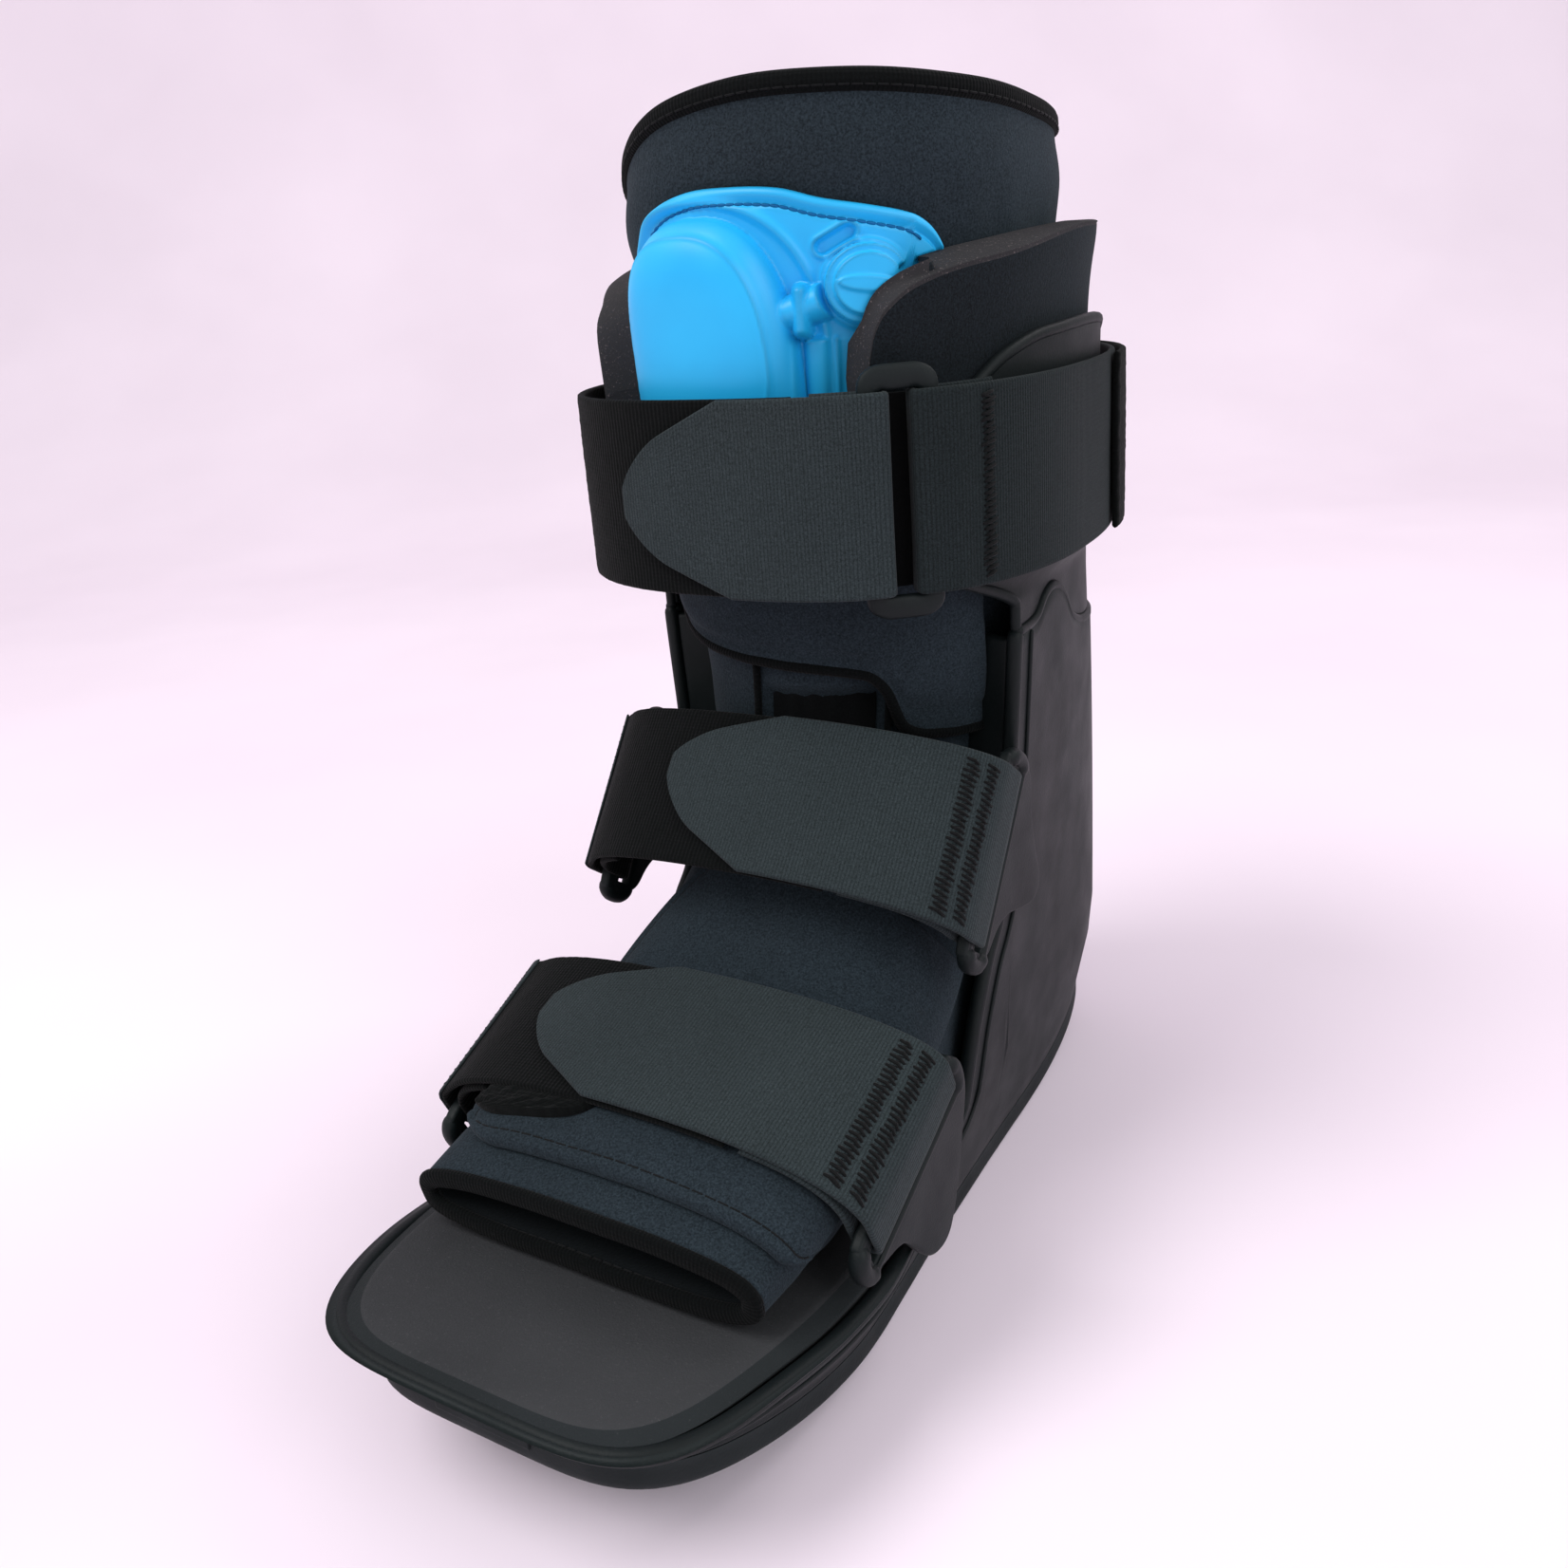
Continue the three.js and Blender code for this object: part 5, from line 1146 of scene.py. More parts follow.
def make_upright(label, side):
    front = math.atan2(HALF_LENGTH, -UPRIGHT_FRONT - GAP)
    fine = np.linspace(front, UPRIGHT_BACK, 400)
    level = wall(fine, SHELL_HEIGHT * 1.0)[:, 1]
    depth = level[-1] - level[0]
    length, height = 118, 82

    def surface(k, rise, grow):
        station = np.interp(k * depth + level[0], level, fine)
        base_y = wall(station, RIM_HEIGHT * 1.0)[..., 1]
        start = rim_z(base_y) + GAP
        z = mix(start, WING_HEIGHT * wing_top(k), rise)
        base = wall(station, z, grow - SHELL_WALL)
        angle = wing_angle(k) * DEG
        wing = on_bootie(row_at(angle, z), angle, WING_OFFSET + stand_off(angle) + grow)
        lean = smooth((z - SEAM_CREST - 1) / (STRAP_HEIGHT - SEAM_CREST - 2))[..., None]
        return mix(base, wing, lean) * np.array([side, 1, 1])

    def point(U, V, offset):
        return surface(U / length, V / height, UPRIGHT_WALL / 2 + offset)

    size = spread(length, 1.5, 1.2), spread(height, 1.3, 1.2)
    dress(slab(f"wing_{label}", point, *size, UPRIGHT_WALL / 2, [PLASTIC]), "plastic", f"upright_{label}")

    # Rolled edge up the front, over the top and down the back
    radius, size = 3.0, 1.6
    turn = np.linspace(0, math.pi / 2, 12)
    u = np.concatenate([
        np.full(50, 0.0), radius * (1 - np.cos(turn)), np.linspace(radius, length - radius, 110)[1:-1],
        length - radius * (1 - np.sin(turn)), np.full(34, length * 1.0),
    ])
    v = np.concatenate([
        np.linspace(0, height - radius, 50), height - radius * (1 - np.sin(turn)),
        np.full(108, height * 1.0),
        height - radius * (1 - np.cos(turn)), np.linspace(height - radius, height * 0.3, 34),
    ])
    keep = np.concatenate([[True], np.hypot(np.diff(u), np.diff(v)) > 0.05])
    k, rise = u[keep] / length, v[keep] / height
    path = surface(k, rise, UPRIGHT_WALL / 2 + 0.5)
    outward = unit(surface(k, rise, UPRIGHT_WALL) - surface(k, rise, 0.0))
    dress(sweep(f"wing_edge_{label}", path, outward, size, size, PLASTIC, roundness=2.4),
          "plastic", f"upright_{label}")


# Strap loops

MID_LOOP = {
    "x": MID_BAR_X, "middle": (0.040, 0.690), "direction": math.atan2(0.816, 0.578), "reach": 43,
    "outline": [
        (1.00, -0.07), (1.06, 0.20), (1.02, 0.38), (0.63, 0.55), (0.33, 0.79), (0.10, 1.01), (-0.16, 0.98),
        (-0.31, 0.74), (-0.43, 0.51), (-0.64, 0.38), (-0.92, 0.33), (-1.02, 0.16), (-1.00, -0.07),
    ],
}
LOW_LOOP = {
    "x": LOW_BAR_X, "middle": (-0.374, 0.3885), "direction": math.atan2(0.421, 0.907), "reach": 45,
    "outline": [
        (1.00, -0.07), (1.10, 0.10), (1.14, 0.28), (0.93, 0.47), (0.68, 0.66), (0.36, 0.90), (0.08, 1.02),
        (-0.22, 0.92), (-0.34, 0.72), (-0.43, 0.48), (-0.58, 0.38), (-0.80, 0.31), (-1.02, 0.20),
        (-1.00, -0.07),
    ],
}
BAR_LENGTH = STRAP_WIDTH + 8
for loop in (MID_LOOP, LOW_LOOP):
    way = loop["direction"]
    loop["along"] = (math.cos(way), math.sin(way))
    loop["behind"] = (math.sin(way), -math.cos(way))
    loop["y"] = loop["middle"][0] * HALF_LENGTH
    loop["z"] = loop["middle"][1] * SHELL_HEIGHT


def on_loop(loop, u, v, x):
    """A point of a loop's plane: along the bar, behind it, and out to the side."""
    u, v, x = np.broadcast_arrays(u, v, x)
    y = loop["y"] + u * loop["along"][0] + v * loop["behind"][0]
    z = loop["z"] + u * loop["along"][1] + v * loop["behind"][1]
    return np.stack([x, y, z], -1)


def rounded(corners, steps=7):
    """A closed outline through the middles of its sides, curved at its corners."""
    points = []
    corners = np.asarray(corners, float)
    for i in range(len(corners)):
        a = (corners[i - 1] + corners[i]) / 2
        b = (corners[i] + corners[(i + 1) % len(corners)]) / 2
        pull = 1.0 if 0 < i < len(corners) - 1 else 0.30
        a, b = mix(corners[i], a, pull), mix(corners[i], b, pull)
        for k in np.linspace(0, 1, steps, endpoint=False):
            points.append(a * (1 - k) ** 2 + corners[i] * 2 * k * (1 - k) + b * k * k)
    return np.array(points)


def flat_plate(name, outline, holes, thickness, edge, place, material):
    """A flat plate with holes and rounded edges. place(u, v, w) sets its points."""
    data = bpy.data.curves.new(name, "CURVE")
    data.dimensions, data.fill_mode = "2D", "BOTH"
    data.extrude, data.bevel_depth, data.bevel_resolution = thickness / 2 - edge, edge, 3
    data.offset = -edge
    for line in (outline, *holes):
        spline = data.splines.new("POLY")
        spline.points.add(len(line) - 1)
        spline.points.foreach_set("co", np.c_[line, np.zeros(len(line)), np.ones(len(line))].ravel())
        spline.use_cyclic_u = True
    holder = bpy.data.objects.new(name, data)
    bpy.context.scene.collection.objects.link(holder)
    bpy.context.view_layer.update()
    mesh = bpy.data.meshes.new_from_object(holder.evaluated_get(bpy.context.evaluated_depsgraph_get()))
    points = np.zeros(len(mesh.vertices) * 3)
    mesh.vertices.foreach_get("co", points)
    u, v, w = points.reshape(-1, 3).T
    faces = [list(p.vertices) for p in mesh.polygons]
    bpy.data.objects.remove(holder)
    piece = add_mesh(name, place(u, v, w), faces, [material])
    weld = piece.modifiers.new("weld", "WELD")
    weld.merge_threshold = 0.00001
    piece.data.set_sharp_from_angle(angle=50 * DEG)
    return piece


def make_loop(name, loop, side):
    node = f"{name}_loop_{'right' if side > 0 else 'left'}"
    outline = rounded([(u * BAR_LENGTH / 2, v * loop["reach"]) for u, v in loop["outline"]])
    half = STRAP_WIDTH / 2 + 1
    near, far = BAR_HALF, BAR_HALF + SLOT_WIDTH
    slot = np.array([(-half, near), (-half, far), (half, far), (half, near)])
    flip = np.array([side, 1, 1])

    def place(u, v, w):
        return on_loop(loop, u, v, loop["x"] + w) * flip

    dress(flat_plate(f"{node}_plate", outline, [slot], LOOP_THICKNESS, 1.1, place, PLASTIC), "plastic", node)
    # Rounded rim round the slot: the bar that carries the strap, both ends and the ridge behind the slot
    line = []
    turns = np.linspace(0, math.pi / 2, 9)
    right, left, high, low = half + 3.2, -half - 4.2, far + 1.9, -0.2
    corners = ((right, high, 0, 4.4), (left, high, 1, 4.4), (left, low, 2, 4.8), (right, low, 3, 4.0))
    for cu, cv, start, r in corners:
        turn = turns + start * math.pi / 2
        mid_u, mid_v = cu - r * (1 if cu > 0 else -1), cv - r * (1 if cv > 2 else -1)
        line += list(zip(mid_u + r * np.cos(turn), mid_v + r * np.sin(turn)))
    line = np.array(line)
    s = along(line, True)
    even = resample(np.vstack([line, line[:1]]), s, np.linspace(0, s[-1], 181)[:-1])
    u, v = even.T
    held = smooth((half + 2.5 - np.abs(u)) / 2.0) * smooth((3.5 - v) / 2)
    thin = smooth((half + 1.5 - np.abs(u)) / 2.0) * smooth((v - 6) / 2)
    path = on_loop(loop, u, v, loop["x"] + 0.6 * (1 - held)) * flip
    out = np.repeat(np.array([[float(side), 0, 0]]), len(u), 0)
    across, high = mix(2.6, 2.4, held) - 1.2 * thin, mix(2.7, 2.0, held) - 0.9 * thin
    rim = sweep(f"{node}_rim", path, out, across, high, PLASTIC, closed=True, roundness=2.3, sides=16)
    dress(rim, "plastic", node)


# Straps: each is a run of stations with two edge points and the outward step of each

MID_ARCH = {"loop": MID_LOOP, "upper": (-0.021, 0.899), "lower": (-0.216, 0.706), "square": 2.25}
LOW_ARCH = {"loop": LOW_LOOP, "upper": (-0.263, 0.547), "lower": (-0.570, 0.475), "square": 2.25}
LAYER = STRAP_THICKNESS + GAP


def on_arch(arch, angle, edge, lift):
    """A point of a lower strap's arch, from the crown (0), on its lower (-1) or upper (1) edge."""
    loop = arch["loop"]
    reach = loop["x"] + LOOP_THICKNESS / 2 + GAP + STRAP_THICKNESS / 2
    foot = on_loop(loop, edge * STRAP_WIDTH / 2, -BAR_HALF - GAP, 0.0)
    crown = arch["upper"] if edge > 0 else arch["lower"]
    dy = crown[0] * HALF_LENGTH - foot[1]
    dz = crown[1] * SHELL_HEIGHT - foot[2]
    rise = math.hypot(dy, dz) - STRAP_THICKNESS / 2
    s = power(np.sin(angle), 2 / arch["square"])
    c = power(np.cos(angle), 2 / arch["square"])
    k = (rise + lift) * c / math.hypot(dy, dz)
    return np.stack(np.broadcast_arrays((reach + lift) * s, foot[1] + dy * k, foot[2] + dz * k), -1)


def arch_stations(arch, angles, lift, way=1):
    edges = np.stack([on_arch(arch, angles, -1, lift), on_arch(arch, angles, 1, lift)], 1)
    steps = np.stack([on_arch(arch, angles, -1, lift + 1), on_arch(arch, angles, 1, lift + 1)], 1) - edges
    return edges, steps * way


def fold_stations(loop, side, count):
    """Half turn round a bar, from the return underneath to the outer run."""
    depth = BAR_HALF + GAP + STRAP_THICKNESS / 2
    wide = LOOP_THICKNESS / 2 + GAP + STRAP_THICKNESS / 2
    turn = np.linspace(math.pi, 0, count + 2)[1:-1]
    c, s = power(np.cos(turn), 1 / 3), power(np.sin(turn), 1 / 3)
    flip = np.array([side, 1, 1])

    def edges(t):
        return np.stack([
            on_loop(loop, e * STRAP_WIDTH / 2, s * (depth + t), loop["x"] + c * (wide + t)) * flip
            for e in (-1, 1)
        ], 1)

    return edges(0.0), edges(1.0) - edges(0.0)


def strap_path(parts):
    edges = np.concatenate([p[0] for p in parts])
    steps = np.concatenate([p[1] for p in parts])
    return {"edges": edges, "steps": steps, "s": along(edges.mean(1))}


def on_strap(path, s, v, offset):
    """Points of a strap at length s, across it from the lower edge in mm, off its middle."""
    edges = resample(path["edges"], path["s"], s)
    steps = resample(path["steps"], path["s"], s)
    k = (np.asarray(v) / STRAP_WIDTH)[..., None]
    offset = np.asarray(offset)[..., None]
    if k.ndim == 3:
        base = mix(edges[:, None, 0], edges[:, None, 1], k)
        out = mix(steps[:, None, 0], steps[:, None, 1], k)
    else:
        base, out = mix(edges[:, 0], edges[:, 1], k), mix(steps[:, 0], steps[:, 1], k)
    return base + out * offset


def tongue(distance):
    """Share of the strap's width at a distance from its cut tip."""
    end = np.sqrt(1 - (1 - np.clip(distance, 0, 15) / 15) ** 2)
    return (0.42 + 0.58 * np.clip(distance / 34, 0, 1)) * (0.06 + 0.94 * end)


def make_strap(name, path, material, slot, node, tip=None, fuzz=0.0, seed=1, lean=0.0):
    total = path["s"][-1]
    U, shares = spread(total, 1.5, 1.0)
    V, across = spread(STRAP_WIDTH, 1.3, 1.0)

    def point(u, v, offset):
        if tip:
            width = tongue(total - u)
            v = STRAP_WIDTH / 2 + (v - STRAP_WIDTH / 2) * width + lean * (1 - width) * STRAP_WIDTH / 2
        flat = np.stack([u, v, 0 * u], -1)
        wave = 0.25 * ripple(flat, 40, seed)
        nap = fuzz * (ripple(flat, 3.1, seed + 1) + ripple(flat, 1.9, seed + 2)) if fuzz else 0
        nap = np.where(offset > 0, nap, 0)
        return on_strap(path, u[:, 0], v, offset + nap + wave * 0.4)

    piece = slab(name, point, (U, shares), (V, across), STRAP_THICKNESS / 2, [material])
    return dress(piece, slot, node)


def bar_tack(name, path, rows, slot, node, low=2.6, high=STRAP_WIDTH - 2.6, pitch=1.7, reach=3.4, seed=3):
    """Columns of irregular looped stitches across a strap."""
    rng = np.random.default_rng(seed)
    lines = []
    for s0 in rows:
        for v in np.arange(low, high, pitch):
            slip = rng.uniform(-0.6, 0.6, 4)
            s = s0 + np.array([-reach / 2 + slip[0], slip[3] * 0.5, reach / 2 + slip[1]])
            vs = v + np.array([0, 0.5 + slip[2] * 0.4, 0.8])
            lines.append(on_strap(path, s, vs, np.array([0.95, 1.5, 0.95])))
        v = np.arange(low, high, pitch / 2)
        swing = np.where(np.arange(len(v)) % 2 == 0, -reach / 2, reach / 2)
        zigzag = s0 + swing + rng.uniform(-0.3, 0.3, len(v))
        lines.append(on_strap(path, zigzag, v, np.full(len(v), 1.1)))
    return dress(threads(name, lines, 0.5, THREAD, 5), slot, node)


def stitch_rows(name, path, rows, slot, node, lift=1.7):
    """Straight rows of stitches across a strap."""
    lines = []
    for s0 in rows:
        for v in np.arange(1.6, STRAP_WIDTH - 3.2, 2.6):
            bow = np.array([-0.25, 0.1, -0.25]) + lift
            lines.append(on_strap(path, np.full(3, s0), v + np.array([0, 0.9, 1.8]), bow))
    return dress(threads(name, lines, 0.36, THREAD, 5), slot, node)


def make_arch_strap(name, arch, side, lift, end, back, back_lift, hook):
    node = f"{name}_strap_{'hook' if hook else 'pile'}"
    top = 88
    under = -(LOOP_THICKNESS + 2 * GAP + STRAP_THICKNESS)
    k = np.linspace(0, 1, 24)
    inner_lift = mix(back_lift, under, smooth(k * 1.25 - 0.25))
    inner = arch_stations(arch, side * mix(back, top, k) * DEG, inner_lift, -1)
    fold = fold_stations(arch["loop"], side, 24)
    k = np.linspace(0, 1, 90)
    outer = arch_stations(arch, side * mix(top, end, k) * DEG, lift * smooth(k * 6))
    path = strap_path([inner, fold, outer])
    fold_end = along(np.concatenate([inner[0].mean(1), fold[0].mean(1)]))[-1]
    if hook:
        lean = 0.25 if name == "mid" else 0.15
        make_strap(f"{node}_tape", path, HOOK, "webbing", node, tip=True, seed=61, lean=lean)
        bar_tack(f"{node}_tack", path, [fold_end + 15, fold_end + 21.5], "webbing", node)
    else:
        make_strap(f"{node}_tape", path, PILE, "pile", node, fuzz=0.07, seed=71)
        # Smooth folded sleeve near the bar, ending in a stitched line
        def point(u, v, offset):
            return on_strap(path, u[:, 0] + fold_end - 3, v, offset + 1.5)

        size = spread(15, 1.5, 0.5), spread(STRAP_WIDTH, 1.6, 0.5)
        dress(slab(f"{node}_sleeve", point, *size, 0.45, [HOOK]), "pile", node)
        stitch_rows(f"{node}_rows", path, [fold_end + 8.0, fold_end + 10.5], "pile", node)
    return path


# Top strap

TOP_OVAL = {"a": 0.706, "front": 0.514, "back": 0.549, "middle": 0.351, "square": 2.6}


def on_oval(angle, lift):
    c, s = np.cos(angle), np.sin(angle)
    n = TOP_OVAL["square"]
    r = (np.abs(s) ** n + np.abs(c) ** n) ** (-1 / n)
    reach = np.where(c > 0, TOP_OVAL["front"], TOP_OVAL["back"]) * HALF_LENGTH
    x = (TOP_OVAL["a"] * LEG_WIDTH + lift) * r * s
    y = TOP_OVAL["middle"] * HALF_LENGTH - (reach + lift) * r * c
    return np.stack(np.broadcast_arrays(x, y), -1)


TOP_OUTER = -STRAP_THICKNESS / 2
TOP_INNER = TOP_OUTER - LAYER
RING_ANGLE = 40 * DEG
RING_SINK = RING_WIDTH**2 / (8 * HALF_LEG)
RING_CENTRE = on_oval(RING_ANGLE, TOP_OUTER - (RING_THICKNESS + STRAP_THICKNESS) / 2 - GAP - RING_SINK)
RING_WAY = unit(on_oval(RING_ANGLE + 0.02, 0) - on_oval(RING_ANGLE - 0.02, 0))
RING_RETURN = TOP_OUTER - RING_THICKNESS - 2 * GAP - STRAP_THICKNESS - 1.6 * RING_SINK
RING_MIDDLE_Z = STRAP_HEIGHT + STRAP_WIDTH / 2


def on_ring(across, out, z):
    x = RING_CENTRE[0] + across * RING_WAY[0] + out * RING_WAY[1]
    y = RING_CENTRE[1] + across * RING_WAY[1] - out * RING_WAY[0]
    return np.stack(np.broadcast_arrays(x, y, z), -1)


def top_stations(angles, lift, way=1):
    def edges(t):
        flat = on_oval(angles, lift + t)
        return np.stack([
            np.concatenate([flat, np.full((len(flat), 1), z)], -1)
            for z in (STRAP_HEIGHT, STRAP_HEIGHT + STRAP_WIDTH)
        ], 1)

    return edges(0.0), (edges(1.0) - edges(0.0)) * way


def ring_stations(side, count):
    """Half turn round one bar of the ring, from the return to the outer run."""
    wide = RING_THICKNESS / 2 + GAP + STRAP_THICKNESS / 2
    deep = RING_BAR / 2 + GAP + STRAP_THICKNESS / 2 + 1.0
    turn = np.linspace(math.pi, 0, count)
    c, s = power(np.cos(turn), 1 / 3), power(np.sin(turn), 1 / 3)

    def edges(t):
        across = side * (RING_WIDTH / 2 - RING_BAR / 2 - s * (deep + t))
        return np.stack([
            on_ring(across, c * (wide + t), z) for z in (STRAP_HEIGHT, STRAP_HEIGHT + STRAP_WIDTH)
        ], 1)

    return edges(0.0), edges(1.0) - edges(0.0)


def make_top_straps():
    hook = strap_path([
        top_stations(np.linspace(23, 31.5, 10) * DEG, RING_RETURN, -1),
        ring_stations(-1, 22),
        top_stations(np.linspace(31.5, -22, 60)[1:] * DEG, TOP_OUTER),
    ])
    make_strap("top_hook_tape", hook, HOOK, "webbing", "top_strap_hook", tip=True, seed=81, lean=-0.05)

    pile = strap_path([top_stations(np.linspace(20, -178, 220) * DEG, TOP_INNER)])
    make_strap("top_pile_tape", pile, PILE, "pile", "top_strap_pile", fuzz=0.08, seed=91)

    angles = np.linspace(49, 180, 160)
    lift = mix(TOP_OUTER, TOP_INNER, smooth(((angles - 49) / 131 - 0.2) * 3))
    back = strap_path([
        top_stations(np.linspace(62, 49, 12) * DEG, RING_RETURN, -1),
        ring_stations(1, 22),
        top_stations(angles[1:] * DEG, lift[1:]),
    ])
    make_strap("top_back_tape", back, STRAP_BACK, "webbing", "top_strap_back", seed=101)
    turned = along(back["edges"][:34].mean(1))[-1]
    bar_tack("top_back_tack", back, [turned + 15], "webbing", "top_strap_back", pitch=1.5, reach=3.0, seed=9)

    patch = strap_path([top_stations(np.linspace(108, 196, 110) * DEG, TOP_OUTER + 2 * GAP)])
    make_strap("back_patch_tape", patch, PILE, "pile", "back_patch", fuzz=0.1, seed=111)


def make_ring():
    half_w, half_h, corner = RING_WIDTH / 2 - RING_BAR / 2, (STRAP_WIDTH + 8) / 2 - RING_BAR / 2 + 1.2, 4.0
    line = []
    for cx, cz, start in ((1, 1, 0), (-1, 1, 90), (-1, -1, 180), (1, -1, 270)):
        for turn in np.linspace(start, start + 90, 10) * DEG:
            line.append((cx * (half_w - corner) + corner * math.cos(turn),
                         cz * (half_h - corner) + corner * math.sin(turn)))
    line = np.array(line)
    s = along(line, True)
    even = resample(np.vstack([line, line[:1]]), s, np.linspace(0, s[-1], 161)[:-1])
    path = on_ring(even[:, 0], 0.0, RING_MIDDLE_Z + even[:, 1])
    out = np.repeat(np.array([[RING_WAY[1], -RING_WAY[0], 0.0]]), len(path), 0)
    ends = smooth((np.abs(even[:, 1]) - half_h + 4.0) / 3.0)
    across = RING_BAR / 2 + 0.2 + 0.9 * ends
    piece = sweep("ring_frame", path, out, across, RING_THICKNESS / 2 + 0.1, PLASTIC, closed=True,
                  roundness=3.2, sides=16)
    dress(piece, "plastic", "top_ring")

    # Near-black sheet seen through the gap between the two folds: painted shade
    def gap_painted_shade(U, V, offset):
        turn = mix(34, 46, U / 12) * DEG
        z = mix(STRAP_HEIGHT + 1, STRAP_HEIGHT + STRAP_WIDTH - 1, V / 48)
        return np.concatenate([on_oval(turn, RING_RETURN - 0.6 + offset), z[..., None]], -1)

    size = spread(12, 1.5, 0.3), spread(48, 2.5, 0.3)
    dress(slab("ring_painted_shade", gap_painted_shade, *size, 0.3, [PAINTED_SHADE_CLOTH]), "pile", "top_strap_pile")


# Pump

PUMP_ROWS = [
    (-36, 0.900), (-34, 0.940), (-29, 0.966), (-21, 0.988), (-10, 0.999), (3, 1.000), (16, 0.996),
    (26, 0.986), (37, 0.978), (46, 0.970), (50, 0.962), (53, 0.950), (55, 0.934), (56.5, 0.905),
]
pump_top = curve(PUMP_ROWS, 1)
PUMP_LOW = 0.745 * PUMP_HEIGHT


def line_bump(distance, width):
    return np.exp(-((distance / width) ** 2))


def segment(x, z, a, b):
    """Distance from a segment."""
    dx, dz = b[0] - a[0], b[1] - a[1]
    k = np.clip(((x - a[0]) * dx + (z - a[1]) * dz) / (dx * dx + dz * dz), 0, 1)
    return np.hypot(x - a[0] - k * dx, z - a[1] - k * dz)


VALVE = ((DIAL_ANGLE + 2.6) * MM_PER_DEGREE, DIAL_HEIGHT + 2.0)


def egg(x, z, cx, cz, hx, hz, taper):
    """Rough distance to an egg outline, inside below 0; its sides draw in towards the top by taper."""
    v = (z - cz) / hz
    r = (np.abs((x - cx) / (hx * (1 - taper * v))) ** 2.5 + np.abs(v) ** 2.5) ** (1 / 2.5)
    return (r - 1) * (hx + hz) / 2


def pump_height(x, z, border):
    """Height of the moulded sheet's face above its base, x in mm round the leg from the front."""
    bulb = egg(x, z, -7.5, 259.5, 26.5, 36, 0.07)
    k = np.clip(-bulb / 22, 0, 1)
    height = 1.6 + 11.4 * (1 - (1 - k) ** 3.2) ** 0.6
    height = height - 0.7 * line_bump(bulb - 1.0, 0.9)
    plateau = egg(x, z, -8.5, 264, 21.0, 27, 0.10)
    height = height + 0.6 * smooth(0.5 - plateau / 1.0) + 0.45 * line_bump(plateau, 0.6)
    frame = egg(x, z, -8.5, 260, 34.5, 38.5, 0.04)
    height = height + 1.1 * line_bump(frame, 1.3)
    # Neck from the bulb to the dial, with a cuff where it leaves the bulb
    neck = segment(x, z, (17, 271), (VALVE[0] - 9, VALVE[1] - 3))
    height = np.maximum(height, 1.6 + 6.2 * np.sqrt(np.clip(1 - (neck / 4.6) ** 2, 0, 1)))
    collar = segment(x, z, (20.2, 267), (20.6, 276))
    height = np.maximum(height, 1.6 + 7.0 * np.sqrt(np.clip(1 - (collar / 2.6) ** 2, 0, 1)))
    tube = np.abs(x - 22.5 - (z - 250) * 0.05)
    under = smooth((266 - z) / 2)
    height = np.maximum(height, 1.6 + (2.4 * np.sqrt(np.clip(1 - (tube / 3.2) ** 2, 0, 1)) + 0.4) * under)
    height = height + 0.7 * line_bump(tube - 5.0, 0.7) * under
    # Dial: a ring, a disc and a lens-shaped grip
    radius = np.hypot(x - VALVE[0], z - VALVE[1])
    height = mix(height, 2.6, smooth((11.6 - radius) / 1.4))
    dial = 6.8 * smooth((10.0 - radius) / 0.8) + 2.2 * smooth((7.7 - radius) / 0.7)
    height = np.maximum(height, dial)
    across = np.sqrt(np.clip(1 - ((x - VALVE[0]) / 6.4) ** 2, 0.001, 1))
    lens = np.abs(z - VALVE[1] + (x - VALVE[0]) * 0.12) / (2.2 * across)
    height = height + 0.8 * smooth((1.15 - lens) / 0.5) * (radius < 6.8)
    # Crescent recess above the dial
    slot = segment(x, z, (VALVE[0] - 9.6, VALVE[1] + 9.4), (VALVE[0] - 3.4, VALVE[1] + 12.6))
    height = height - 1.5 * smooth((1.9 - slot) / 0.7) + 0.6 * line_bump(slot - 2.4, 0.6)
    height = height - 0.7 * line_bump(border - 4.0, 0.7) + 0.5 * smooth((3.2 - border) / 1.4)
    return height


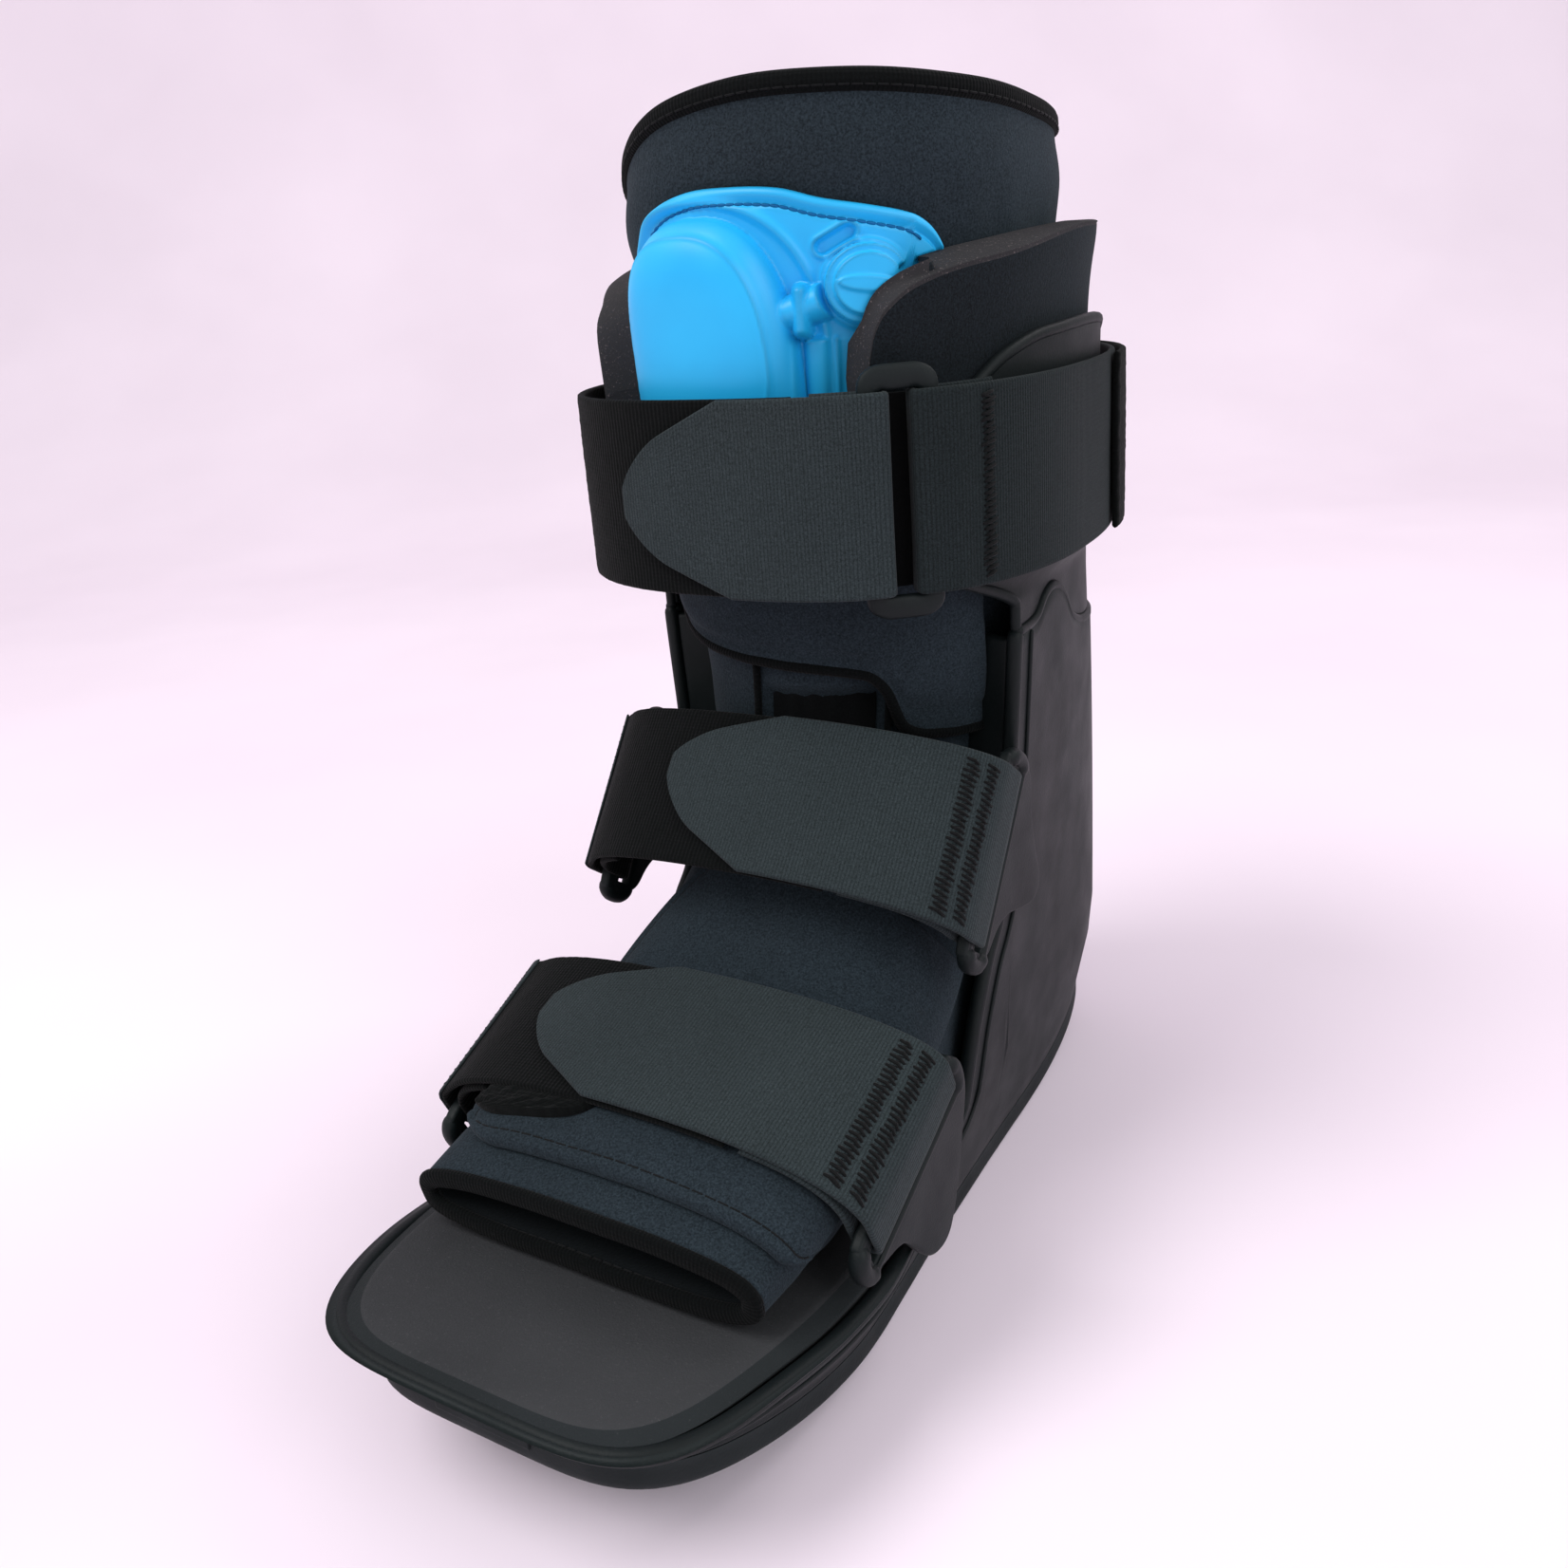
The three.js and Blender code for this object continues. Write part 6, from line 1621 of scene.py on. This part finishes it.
def make_pump():
    first, last = PUMP_ROWS[0][0] - 0.5, PUMP_ROWS[-1][0] + 0.5
    angles = np.arange(first, last, 0.42)
    steps = np.linspace(0, 1, 190)
    T, K = np.meshgrid(angles, steps, indexing="ij")
    top = PUMP_HEIGHT * pump_top(T)
    under = smooth((T - 44) / 3.0)
    pad = PAD_HEIGHT * pad_top((T - PAD_FRONT["right"]) / (PAD_BACK - PAD_FRONT["right"]))
    z = mix(mix(PUMP_LOW, pad - 7, under), top, K)
    x = T * MM_PER_DEGREE
    sides = np.minimum(x - x[0, 0], x[-1, 0] - x)
    border = np.minimum(top - z, sides)
    roll = np.sqrt(np.clip(1 - (1 - np.clip(border, 0, 2.0) / 2.0) ** 2, 0, 1))
    face = pump_height(x, z, border) * roll
    # Flat where it runs on behind the pad
    behind = smooth((pad - z) / 1.5) * smooth((T - 41) / 2)
    room = np.maximum(stand_off(T * DEG) - GAP - 1.0, 0.2)
    face = mix(face, np.minimum(face, room), behind)
    at = row_at(T * DEG, z)
    outer = on_bootie(at, T * DEG, GAP + 0.9 + face)
    inner = on_bootie(at, T * DEG, GAP + 0.7 - 0.4 * roll)
    rows, columns = T.shape
    top_index = np.arange(rows * columns).reshape(rows, columns)
    low_index = top_index.copy()
    low_index[1:-1, 1:-1] = rows * columns + np.arange((rows - 2) * (columns - 2)).reshape(rows - 2, -1)
    points = np.concatenate([outer.reshape(-1, 3), inner[1:-1, 1:-1].reshape(-1, 3)])
    faces = np.concatenate([grid_faces(top_index), grid_faces(low_index)[:, ::-1]])
    piece = add_mesh("pump_bladder", points, faces, [PUMP])
    dress(piece, "pump", "pump_panel", "pump_bulb", "pump_valve")

    # Stitches inside the top edge and round its right corner
    lines = []
    t = np.linspace(PUMP_ROWS[0][0] + 2, PUMP_ROWS[-1][0] - 4.0, 400)
    edge = np.stack([t * MM_PER_DEGREE, PUMP_HEIGHT * pump_top(t)], -1)
    tangent = unit(np.gradient(edge, axis=0))
    seam = edge + 4.2 * np.stack([tangent[:, 1], -tangent[:, 0]], -1)
    run = along(seam)
    for start in np.arange(1, run[-1] - 2, 2.3):
        x, z = resample(seam, run, np.array([start, start + 0.8, start + 1.6])).T
        border = np.minimum(PUMP_HEIGHT * pump_top(x / MM_PER_DEGREE) - z, (last * MM_PER_DEGREE) - x)
        face = pump_height(x, z, border)
        turn = x / MM_PER_DEGREE * DEG
        lines.append(on_bootie(row_at(turn, z), turn, GAP + 0.9 + face + np.array([0.05, 0.3, 0.05])))
    dress(threads("pump_stitches", lines, 0.38, STITCH_BLUE, 5), "pump", "pump_panel")


STITCH_BLUE = plastic_material("blue_thread", srgb(6, 88, 138), srgb(10, 102, 156), 0.6, 900)

make_shell()
make_outsole()
make_insole()
make_bootie()
make_bindings()
make_foot_flap()
make_cuff_flap()
for label, side in (("right", 1), ("left", -1)):
    make_pad(label, side)
    make_upright(label, side)
    make_loop("mid", MID_LOOP, side)
    make_loop("low", LOW_LOOP, side)
for name, arch in (("mid", MID_ARCH), ("low", LOW_ARCH)):
    make_arch_strap(name, arch, 1, 0.0, -24 if name == "mid" else -38, 30, -LAYER, True)
    make_arch_strap(name, arch, -1, -LAYER, -26, 46, -2.3 * LAYER, False)
make_top_straps()
make_ring()
make_pump()

# Studio


def stage_material():
    material, nodes, links, shader = new_material("paper")
    grain = texture(nodes, links, "ShaderNodeTexNoise", 3, "object", Detail=3)
    tone = ramp(nodes, links, grain.outputs["Fac"], [(0.3, srgb(230, 217, 228)), (0.7, srgb(238, 225, 236))])
    links.new(tone, shader.inputs["Base Color"])
    shader.inputs["Roughness"].default_value = 0.9
    return material


def make_stage():
    """Pale paper on the floor that curves up behind the boot."""
    points, half = [], 3.0
    turn = np.linspace(0, math.pi / 2, 24)
    profile = [(-2.5, 0.0), (1.1, 0.0)]
    profile += [(1.1 + 0.9 * math.sin(t), 0.9 * (1 - math.cos(t))) for t in turn[1:]]
    profile.append((2.0, 4.5))
    for y, z in profile:
        points += [(-half, y, z), (half, y, z)]
    data = bpy.data.meshes.new("backdrop")
    faces = [(2 * i, 2 * i + 1, 2 * i + 3, 2 * i + 2) for i in range(len(profile) - 1)]
    data.from_pydata(points, [], faces)
    data.shade_smooth()
    data.materials.append(stage_material())
    piece = bpy.data.objects.new("backdrop", data)
    piece.rotation_euler = (0, 0, 32 * DEG)
    bpy.context.scene.collection.objects.link(piece)


def area_light(name, place, size, energy, colour, target=(0, 0, 0.15)):
    data = bpy.data.lights.new(name, "AREA")
    data.shape, data.size, data.energy, data.color = "DISK", size, energy, colour
    light = bpy.data.objects.new(name, data)
    light.location = place
    light.rotation_euler = (Vector(target) - Vector(place)).to_track_quat("-Z", "Y").to_euler()
    bpy.context.scene.collection.objects.link(light)


bpy.context.scene.view_settings.view_transform = "Standard"
make_stage()
area_light("key", (-0.7, -1.0, 1.7), 1.3, 26, (1.0, 0.98, 0.99))
area_light("fill", (1.6, -0.5, 1.1), 1.4, 14, (0.96, 0.98, 1.0))
area_light("back", (0.9, 1.2, 1.6), 1.0, 10, (1.0, 0.97, 0.98))
world = bpy.data.worlds.new("room")
world.use_nodes = True
world.node_tree.nodes["Background"].inputs["Color"].default_value = (*srgb(240, 240, 242), 1)
world.node_tree.nodes["Background"].inputs["Strength"].default_value = 0.75
bpy.context.scene.world = world

# Camera at the photograph's place: sizes in mm, angles in degrees, focal length in pixels of 1652
CAMERA_PLACE = np.array([210.4, -328.9, 285.5])
YAW, PITCH, ROLL = 32.46 * DEG, 20.34 * DEG, -4.42 * DEG
FOCAL_PIXELS, PHOTO_PIXELS = 1500.3, 1652
ahead = np.array([-math.sin(YAW) * math.cos(PITCH), math.cos(YAW) * math.cos(PITCH), -math.sin(PITCH)])
level = unit(np.cross(ahead, [0, 0, 1]))
above = np.cross(level, ahead)
right = math.cos(ROLL) * level + math.sin(ROLL) * above
top = -math.sin(ROLL) * level + math.cos(ROLL) * above
camera_data = bpy.data.cameras.new("camera")
camera_data.sensor_width = 36
camera_data.lens = FOCAL_PIXELS * 36 / PHOTO_PIXELS
camera_data.clip_start = 0.01
camera = bpy.data.objects.new("camera", camera_data)
turn = Matrix((right, top, -ahead)).transposed().to_4x4()
camera.matrix_world = Matrix.Translation(Vector((CAMERA_PLACE + SHIFT) * MM)) @ turn
bpy.context.scene.collection.objects.link(camera)
bpy.context.scene.camera = camera
